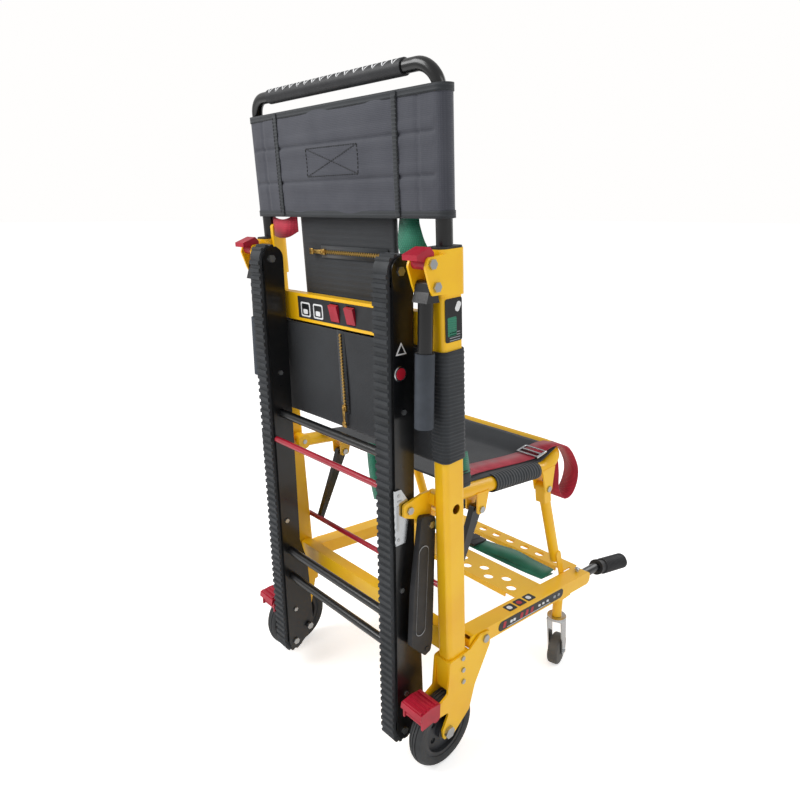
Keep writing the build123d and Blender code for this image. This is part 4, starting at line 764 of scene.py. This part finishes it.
for side, name in ((-1, "left"), (1, "right")):
    bm = bmesh.new()
    bmesh.ops.create_circle(bm, segments=32, radius=SEAT_TUBE + 0.0031)
    grown = bmesh.ops.extrude_edge_only(bm, edges=bm.edges[:])["geom"]
    fresh = [v for v in grown if isinstance(v, bmesh.types.BMVert)]
    bmesh.ops.translate(bm, vec=(0, 0, SEAT_END - SLEEVE_START - SLEEVE_SHORT), verts=fresh)
    runs = [e for e in bm.edges if abs(e.verts[0].co.z - e.verts[1].co.z) > 0.05]
    bmesh.ops.subdivide_edges(bm, edges=runs, cuts=79, use_grid_fill=True)
    for v in bm.verts:
        wave = 0.5 + 0.5 * math.sin(2 * math.pi * v.co.z / 0.0085)
        flat = Vector((v.co.x, v.co.y, 0))
        v.co += flat.normalized() * 0.0011 * wave
    turn_about(bm, "X", -90)
    bmesh.ops.translate(bm, vec=(side * SEAT_HALF, SLEEVE_START, 0), verts=bm.verts)
    sleeve = piece(f"seat_sleeve_{name}", bm, sleeve_cloth, "seat", seat, 0.0012, offset=-1)
print("seat sling", tuple(round(c, 3) for c in seat_deck.dimensions))

# %% [markdown]
# ## Seat belt and leg strap
# The red belt lies along the seat's right side, passes a steel adjuster and hangs as a loop
# over the front corner. The green leg strap crosses the lower frame and sags a little
# between its rails. Its buckle is a black moulded block.

# %% Make the belts
BELT_X = 0.168
path = (
    (0.186, 0.070, DECK + 0.011), (BELT_X, 0.130, DECK + 0.0035), (BELT_X, 0.200, DECK + 0.0022),
    (BELT_X + 0.004, 0.262, DECK + 0.0030), (BELT_X + 0.010, 0.322, DECK + 0.0080),
)
belt = strap("seat_belt_webbing", path, ACROSS, 0.044, WEB, red_web, "seat", seat)
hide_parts("seat_belt")
loop = (
    (0.176, 0.318, DECK + 0.0100), (0.186, 0.352, DECK + 0.0250), (0.196, 0.396, DECK + 0.0200),
    (0.204, 0.430, -0.004), (0.206, 0.436, -0.040), (0.203, 0.424, -0.074), (0.196, 0.400, -0.080),
    (0.190, 0.384, -0.056), (0.186, 0.382, -0.022), (0.182, 0.380, 0.004),
)
spread = ((1, 0, 0), (1, 0, 0.1), (1, -0.2, 0), (1, -0.3, 0), (1, -0.3, 0), (1, -0.2, 0.1),
          (1, 0, 0), (1, 0, 0), (1, 0, 0), (1, 0, 0))
belt_loop = strap("seat_belt_loop", loop, list(spread), 0.046, WEB, red_web, "seat", seat)

bm = bmesh.new()
for y in (-0.015, 0.0, 0.015):
    box_mesh(bm, (0.054, 0.0042, 0.0045), (0, y, 0))
for x in (-0.025, 0.025):
    box_mesh(bm, (0.0045, 0.034, 0.0045), (x, 0, 0))
soften(bm, 0.0011)
at_belt = Matrix.Translation((BELT_X + 0.010, 0.316, DECK + 0.0125))
at_belt = at_belt @ Matrix.Rotation(math.radians(14), 4, "X")
adjuster = piece("seat_belt_adjuster", bm, chrome, "seat", seat @ at_belt)

LEG_Y, LEG_Z, LEG_HALF = 0.276, 0.0175, 0.212
path = []
for k in range(9):
    x = -LEG_HALF + 2 * LEG_HALF * k / 8
    drop = 0.006 * (1 - (x / LEG_HALF) ** 2)
    path.append((x, LEG_Y + 0.004 * math.sin(21 * x), LEG_Z + 0.0015 - drop))
lean = [(0, 1, 0.12 * math.sin(17 * p[0])) for p in path]
leg_strap = strap("leg_strap_webbing", path, lean, 0.046, WEB, green_web, "lower_frame", rail, 6)
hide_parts("leg_strap")
path = [(x + 0.05, y + 0.006, z + 0.0055 + 0.004 * math.sin(30 * x)) for x, y, z in path[3:]]
path[-1] = (LEG_HALF, LEG_Y, LEG_Z + 0.006)
path = path[:-2] + path[-1:]
leg_tail = strap("leg_strap_tail", path, (0, 1, 0.2), 0.042, WEB, green_web, "lower_frame", rail, 6)


def buckle(name, place, body, scale=1.0):
    """A side-release buckle: a body, two prongs and the bars the webbing goes round."""
    bm = bmesh.new()
    box_mesh(bm, (0.034, 0.046, 0.0095), (0, 0, 0))
    box_mesh(bm, (0.018, 0.050, 0.0070), (0.025, 0, 0))
    box_mesh(bm, (0.006, 0.052, 0.0050), (-0.024, 0, 0))
    for y in (-0.022, 0.022):
        box_mesh(bm, (0.014, 0.006, 0.0050), (-0.018, y, 0))
        box_mesh(bm, (0.016, 0.005, 0.0080), (0.004, y * 1.12, 0))
    soften(bm, 0.0014)
    bmesh.ops.scale(bm, vec=(scale, scale, scale), verts=bm.verts)
    made = piece(name, bm, black_abs, body, place)


buckle_place = rail @ Matrix.Translation((-0.02, LEG_Y, LEG_Z + 0.003))
buckle("leg_strap_buckle", buckle_place, "lower_frame")
print("belt and strap laid")

# %% [markdown]
# ## Chest straps
# More straps ride on the back. A green one comes out under the head cover at the right and
# hangs beside the upper sling, and a red one runs inward from the left upright. The hip
# strap's end and buckle lie in front of the right upright, and its tail hangs below the sling.

# %% Make the chest and hip straps
path = (
    (0.150, 0.0165, 1.012), (0.158, 0.006, 0.990), (0.172, -0.004, 0.965), (0.182, -0.003, 0.945),
    (0.186, 0.004, 0.918), (0.184, 0.010, 0.890),
)
lean = ((1, 0, 0.1), (1, 0.1, 0.2), (1, 0.5, 0.35), (1, 0.9, 0.3), (0.8, 1, 0.2), (0.8, 1, 0.1))
chest = strap("chest_strap_right", path, list(lean), 0.044, WEB, green_web, "back_frame", back)
path = (
    (-0.232, 0.008, 0.990), (-0.214, -0.007, 0.985), (-0.188, -0.009, 0.980), (-0.166, -0.005, 0.982),
    (-0.150, 0.006, 0.992),
)
lean = ((0, 0, 1), (0.1, 0, 1), (0.2, 0, 1), (0.1, 0, 1), (0, 0, 1))
chest = strap("chest_strap_left", path, list(lean), 0.036, WEB, red_web, "back_frame", back)
path = ((0.236, 0.0390, 0.612), (0.239, 0.0395, 0.590), (0.241, 0.0400, 0.566), (0.238, 0.0420, 0.546))
hip = strap("hip_strap_right", path, (0.15, 1, 0), 0.022, WEB, green_web, "back_frame", back)
upright_turn = Matrix.Translation((0.241, 0.040, 0.566)) @ Matrix.Rotation(math.radians(90), 4, "Y")
buckle("hip_strap_buckle", back @ upright_turn, "back_frame", 0.5)
path = ((0.074, -0.0285, 0.606), (0.076, -0.0300, 0.568), (0.080, -0.0300, 0.530), (0.085, -0.0280, 0.494))
hang = strap("hip_strap_hanging", path, (1, 0.2, 0), 0.020, WEB, green_web, "back_frame", back)
print("chest and hip straps laid")

# %% [markdown]
# ## Labels and printed marks
# Plates of film with rounded corners lie a few tenths of a millimetre proud of what they
# are stuck to. They carry bands and simple shapes and no words.

# %% Make the labels
FACING = {
    "rear": Matrix.Identity(4),
    "right": Matrix.Rotation(math.radians(90), 4, "Z"),
    "up": Matrix.Rotation(math.radians(-90), 4, "X"),
}


def decal(name, spot, size, corner, facing, material, body, place, slot, tilt=0.0, depth=0.0004):
    """A film label of a size, on a face that looks the given way."""
    bm = rounded_plate(size[0], size[1], corner, depth)
    lay = Matrix.Translation(spot) @ FACING[facing] @ Matrix.Rotation(math.radians(tilt), 4, "Y")
    made = piece(name, bm, material, body, place @ lay, smooth=False)


FILM, INK = 0.0004, 0.0002
RAIL_OUT = 0.2551
ON_RAIL = {"body": "lower_frame", "place": rail, "slot": "yellow_enamel"}
decal("rail_label", (RAIL_OUT, 0.160, 0), (0.226, 0.0215), 0.0100, "right", black_print, **ON_RAIL)
MARKS = (
    (0.066, 0.0135, red_print), (0.088, 0.0060, white_print), (0.098, 0.0060, white_print),
    (0.122, 0.0120, red_print), (0.140, 0.0120, red_print), (0.158, 0.0120, red_print),
    (0.184, 0.0050, white_print), (0.198, 0.0050, white_print), (0.214, 0.0050, white_print),
    (0.240, 0.0060, silver_print), (0.256, 0.0060, silver_print),
)
for i, (y, height, ink) in enumerate(MARKS):
    spot = (RAIL_OUT + FILM, y, 0)
    name = f"rail_label_mark_{i + 1:02d}"
    decal(name, spot, (0.0085, height), 0.0015, "right", ink, **ON_RAIL, tilt=12, depth=INK)
spot = (RAIL_OUT + FILM, 0.150, -0.0080)
decal("rail_label_stripe", spot, (0.150, 0.0013), 0.0003, "right", white_print, **ON_RAIL, depth=INK)
for i, y in enumerate((0.105, 0.137, 0.169)):
    spot = (0.2370, y, 0.0151)
    decal(f"rail_sign_{i + 1}", spot, (0.020, 0.026), 0.003, "up", black_print, **ON_RAIL)
    spot = (0.2370, y - 0.002, 0.0155)
    ink = (white_print, red_print, white_print)[i]
    decal(f"rail_sign_face_{i + 1}", spot, (0.011, 0.013), 0.005, "up", ink, **ON_RAIL, depth=INK)

UPRIGHT_OUT = 0.2561
ON_UPRIGHT = {"facing": "right", "body": "back_frame", "place": back, "slot": "yellow_enamel"}
label_x = UPRIGHT_OUT + FILM
decal("upright_label", (UPRIGHT_OUT, 0.0, 0.852), (0.038, 0.068), 0.004, material=black_print, **ON_UPRIGHT)
spot, size = (label_x, -0.004, 0.842), (0.020, 0.030)
decal("upright_label_green", spot, size, 0.002, material=green_web, **ON_UPRIGHT, depth=INK)
spot, size = (label_x, 0.010, 0.872), (0.010, 0.016)
decal("upright_label_leaf", spot, size, 0.004, material=white_print, **ON_UPRIGHT, tilt=30, depth=INK)
for i in range(4):
    spot, size = (label_x, 0.002, 0.8225 + 0.004 * i - 0.002), (0.024, 0.0012)
    name = f"upright_label_line_{i + 1}"
    decal(name, spot, size, 0.0003, material=silver_print, **ON_UPRIGHT, depth=INK)

ON_PANEL = {"facing": "rear", "body": "back_frame", "place": back, "slot": "black_plastic"}
for i, x in enumerate((-0.106, -0.066)):
    spot, size = (x, -0.0230, 0.832), (0.030, 0.028)
    decal(f"panel_sign_{i + 1}", spot, size, 0.004, material=white_print, **ON_PANEL, depth=0.0003)
    spot, size = (x, -0.0233, 0.832), (0.024, 0.022)
    decal(f"panel_sign_face_{i + 1}", spot, size, 0.003, material=black_print, **ON_PANEL, depth=INK)
    spot, size = (x, -0.0236, 0.828), (0.014, 0.009)
    decal(f"panel_sign_seat_{i + 1}", spot, size, 0.002, material=white_print, **ON_PANEL, depth=INK)
print("labels stuck on")

# %% [markdown]
# ## Marks on the tracks and covers
# The stowing arm covers carry a long oval outline. The right outer track plate has a
# warning triangle and a round red reflector in a chrome rim.

# %% Make the marks
def ring_points(centre, half_wide, half_high, lean, count=40):
    """Points round a long oval that lies in a side view, leaning forward by an angle."""
    spots = []
    straight = half_high - half_wide
    for k in range(count):
        a = 2 * math.pi * k / count
        y = half_wide * math.cos(a)
        z = half_wide * math.sin(a) + (straight if math.sin(a) > 0 else -straight)
        turned_y = y * math.cos(lean) - z * math.sin(lean)
        turned_z = y * math.sin(lean) + z * math.cos(lean)
        spots.append(Vector((0, turned_y, turned_z)))
    return [Vector(centre) + s for s in spots]


def flat_ring(name, x, spots, width, material, body):
    """A closed printed outline: a strip between a ring and the same ring drawn in."""
    centre = sum(spots, Vector()) / len(spots)
    bm = bmesh.new()
    outer = [bm.verts.new((x, p.y, p.z)) for p in spots]
    inner = []
    for p in spots:
        inward = (centre - p).normalized() * width
        inner.append(bm.verts.new((x, p.y + inward.y, p.z + inward.z)))
    count = len(spots)
    for i in range(count):
        j = (i + 1) % count
        bm.faces.new((outer[i], outer[j], inner[j], inner[i]))
    made = piece(name, bm, material, body, None, FILM, smooth=False)


for side, word in ((-1, "left"), (1, "right")):
    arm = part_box(f"stowing_arm_{word}")
    face_x = max(abs(arm[0][0]), abs(arm[1][0])) * side
    spots = ring_points((0, -0.3255, 0.372), 0.0115, 0.088, math.radians(-2.0))
    ring_x = face_x + side * 0.0001
    arm_body = f"stowing_arm_{word}"
    flat_ring(f"arm_outline_{word}", ring_x, spots, 0.0016, silver_print, arm_body)

PLATE_OUT = 0.2012
TRIANGLES = (
    ("track_warning_triangle", 0.0135, 0.0, white_print),
    ("track_warning_face", 0.0085, FILM, black_print),
)
for name, radius, lift, ink in TRIANGLES:
    bm = bmesh.new()
    bmesh.ops.create_circle(bm, cap_ends=True, segments=3, radius=radius)
    turn_about(bm, "X")
    turn_about(bm, "Z")
    spot = track @ Matrix.Translation((PLATE_OUT + lift, -0.001, 0.730))
    triangle = piece(name, bm, ink, "tracks", spot, FILM, smooth=False)


def disc(name, radius, deep, place, material, body, segments=32):
    """A short round boss that stands out to the right of its place."""
    bm = bmesh.new()
    bmesh.ops.create_cone(
        bm, cap_ends=True, segments=segments, radius1=radius, radius2=radius * 0.94, depth=deep,
    )
    turn_about(bm, "Y")
    made = piece(name, bm, material, body, place, smooth=False)


spot = track @ Matrix.Translation((PLATE_OUT + 0.0006, -0.003, 0.693))
disc("reflector_rim", 0.0125, 0.0016, spot, chrome, "tracks")
spot = track @ Matrix.Translation((PLATE_OUT + 0.0012, -0.003, 0.693))
disc("reflector_face", 0.0100, 0.0014, spot, red_print, "tracks")
print("marks made")

# %% [markdown]
# ## Small hardware
# Spring pins on the rails and ridges on the front grips are small, but they are what makes
# the frame look assembled.

# %% Add the small hardware
def post(name, radius, long, place, material, body):
    """A short cylinder along its own z."""
    bm = bmesh.new()
    bmesh.ops.create_cone(
        bm, cap_ends=True, segments=28, radius1=radius, radius2=radius, depth=long,
    )
    made = piece(name, bm, material, body, place)


RAIL_X, PIN_Y, RIDGES = 0.237, 0.3555, 16
for side, word in ((-1, "left"), (1, "right")):
    x = side * RAIL_X
    spot = rail @ Matrix.Translation((x, PIN_Y, 0.0165))
    post(f"spring_pin_{word}", 0.0036, 0.009, spot, chrome, "lower_frame")
    spot = rail @ Matrix.Translation((x, PIN_Y, 0.0215))
    post(f"spring_pin_cap_{word}", 0.0056, 0.0032, spot, chrome, "lower_frame")
    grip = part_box(f"front_grip_{word}")
    low, high = Vector(grip[0]), Vector(grip[1])
    axis = (Vector((0, high.y, low.z + 0.018)) - Vector((0, low.y, high.z - 0.018))).normalized()
    start = Vector((x, low.y + 0.020, high.z - 0.0225))
    turn_to = axis.to_track_quat("Z", "Y").to_matrix().to_4x4()
    bm = bmesh.new()
    for k in range(RIDGES):
        made = bmesh.ops.create_cone(
            bm, cap_ends=True, segments=28, radius1=0.0176, radius2=0.0188, depth=0.0028,
        )["verts"]
        bmesh.ops.translate(bm, vec=(0, 0, 0.012 + 0.0062 * k), verts=made)
    lay = Matrix.Translation(start) @ turn_to
    ridges = piece(f"front_grip_ridges_{word}", bm, black_abs, f"front_handle_{word}", lay)
print("small hardware added")

# %% [markdown]
# ## Rivets and presses on the track latches
# Each latch is a chromed pressing. Two rivet heads and a long raised rib break up its face.

# %% Detail the latches
for side, word in ((-1, "left"), (1, "right")):
    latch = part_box(f"track_latch_{word}")
    face_x = side * (max(abs(latch[0][0]), abs(latch[1][0])) + 0.0003)
    rear_y, top_z, low_z = latch[0][1], latch[1][2], latch[0][2]
    bm = bmesh.new()
    box_mesh(bm, (0.0009, 0.0045, 0.046), (face_x, rear_y + 0.0075, (top_z + low_z) / 2))
    box_mesh(bm, (0.0009, 0.0100, 0.0030), (face_x, rear_y + 0.0110, top_z - 0.020))
    soften(bm, 0.0003)
    rib = piece(f"track_latch_rib_{word}", bm, zinc, f"track_latch_{word}", smooth=False)
    for z, part in ((top_z - 0.010, "top"), (low_z + 0.010, "low")):
        spot = Matrix.Translation((face_x, rear_y + 0.0095, z))
        name = f"track_latch_rivet_{word}_{part}"
        disc(name, 0.0032, 0.0010, spot, zinc, f"track_latch_{word}", 20)
print("latches detailed")

# %% [markdown]
# ## Floor and finish
# The floor is not part of the chair.

# %% Lay the floor and finish
floor_mesh = bmesh.new()
bmesh.ops.create_grid(floor_mesh, x_segments=1, y_segments=1, size=60)
floor_data = bpy.data.meshes.new("floor")
floor_mesh.to_mesh(floor_data)
floor_mesh.free()
floor = bpy.data.objects.new("floor", floor_data)
pale, pale_shader, _ = begin("pale_matt_floor", "#FFFFFF", 1.0)
pale_shader.inputs["Specular IOR Level"].default_value = 0.0
pale_shader.inputs["Emission Color"].default_value = linear("#FFFFFF")
seen = add(pale, "ShaderNodeLightPath").outputs["Is Camera Ray"]
glow = add(pale, "ShaderNodeMath", {"operation": "MULTIPLY", 1: 0.5}, {0: seen}).outputs["Value"]
pale.node_tree.links.new(glow, pale_shader.inputs["Emission Strength"])
floor.data.materials.append(pale)
bpy.context.collection.objects.link(floor)
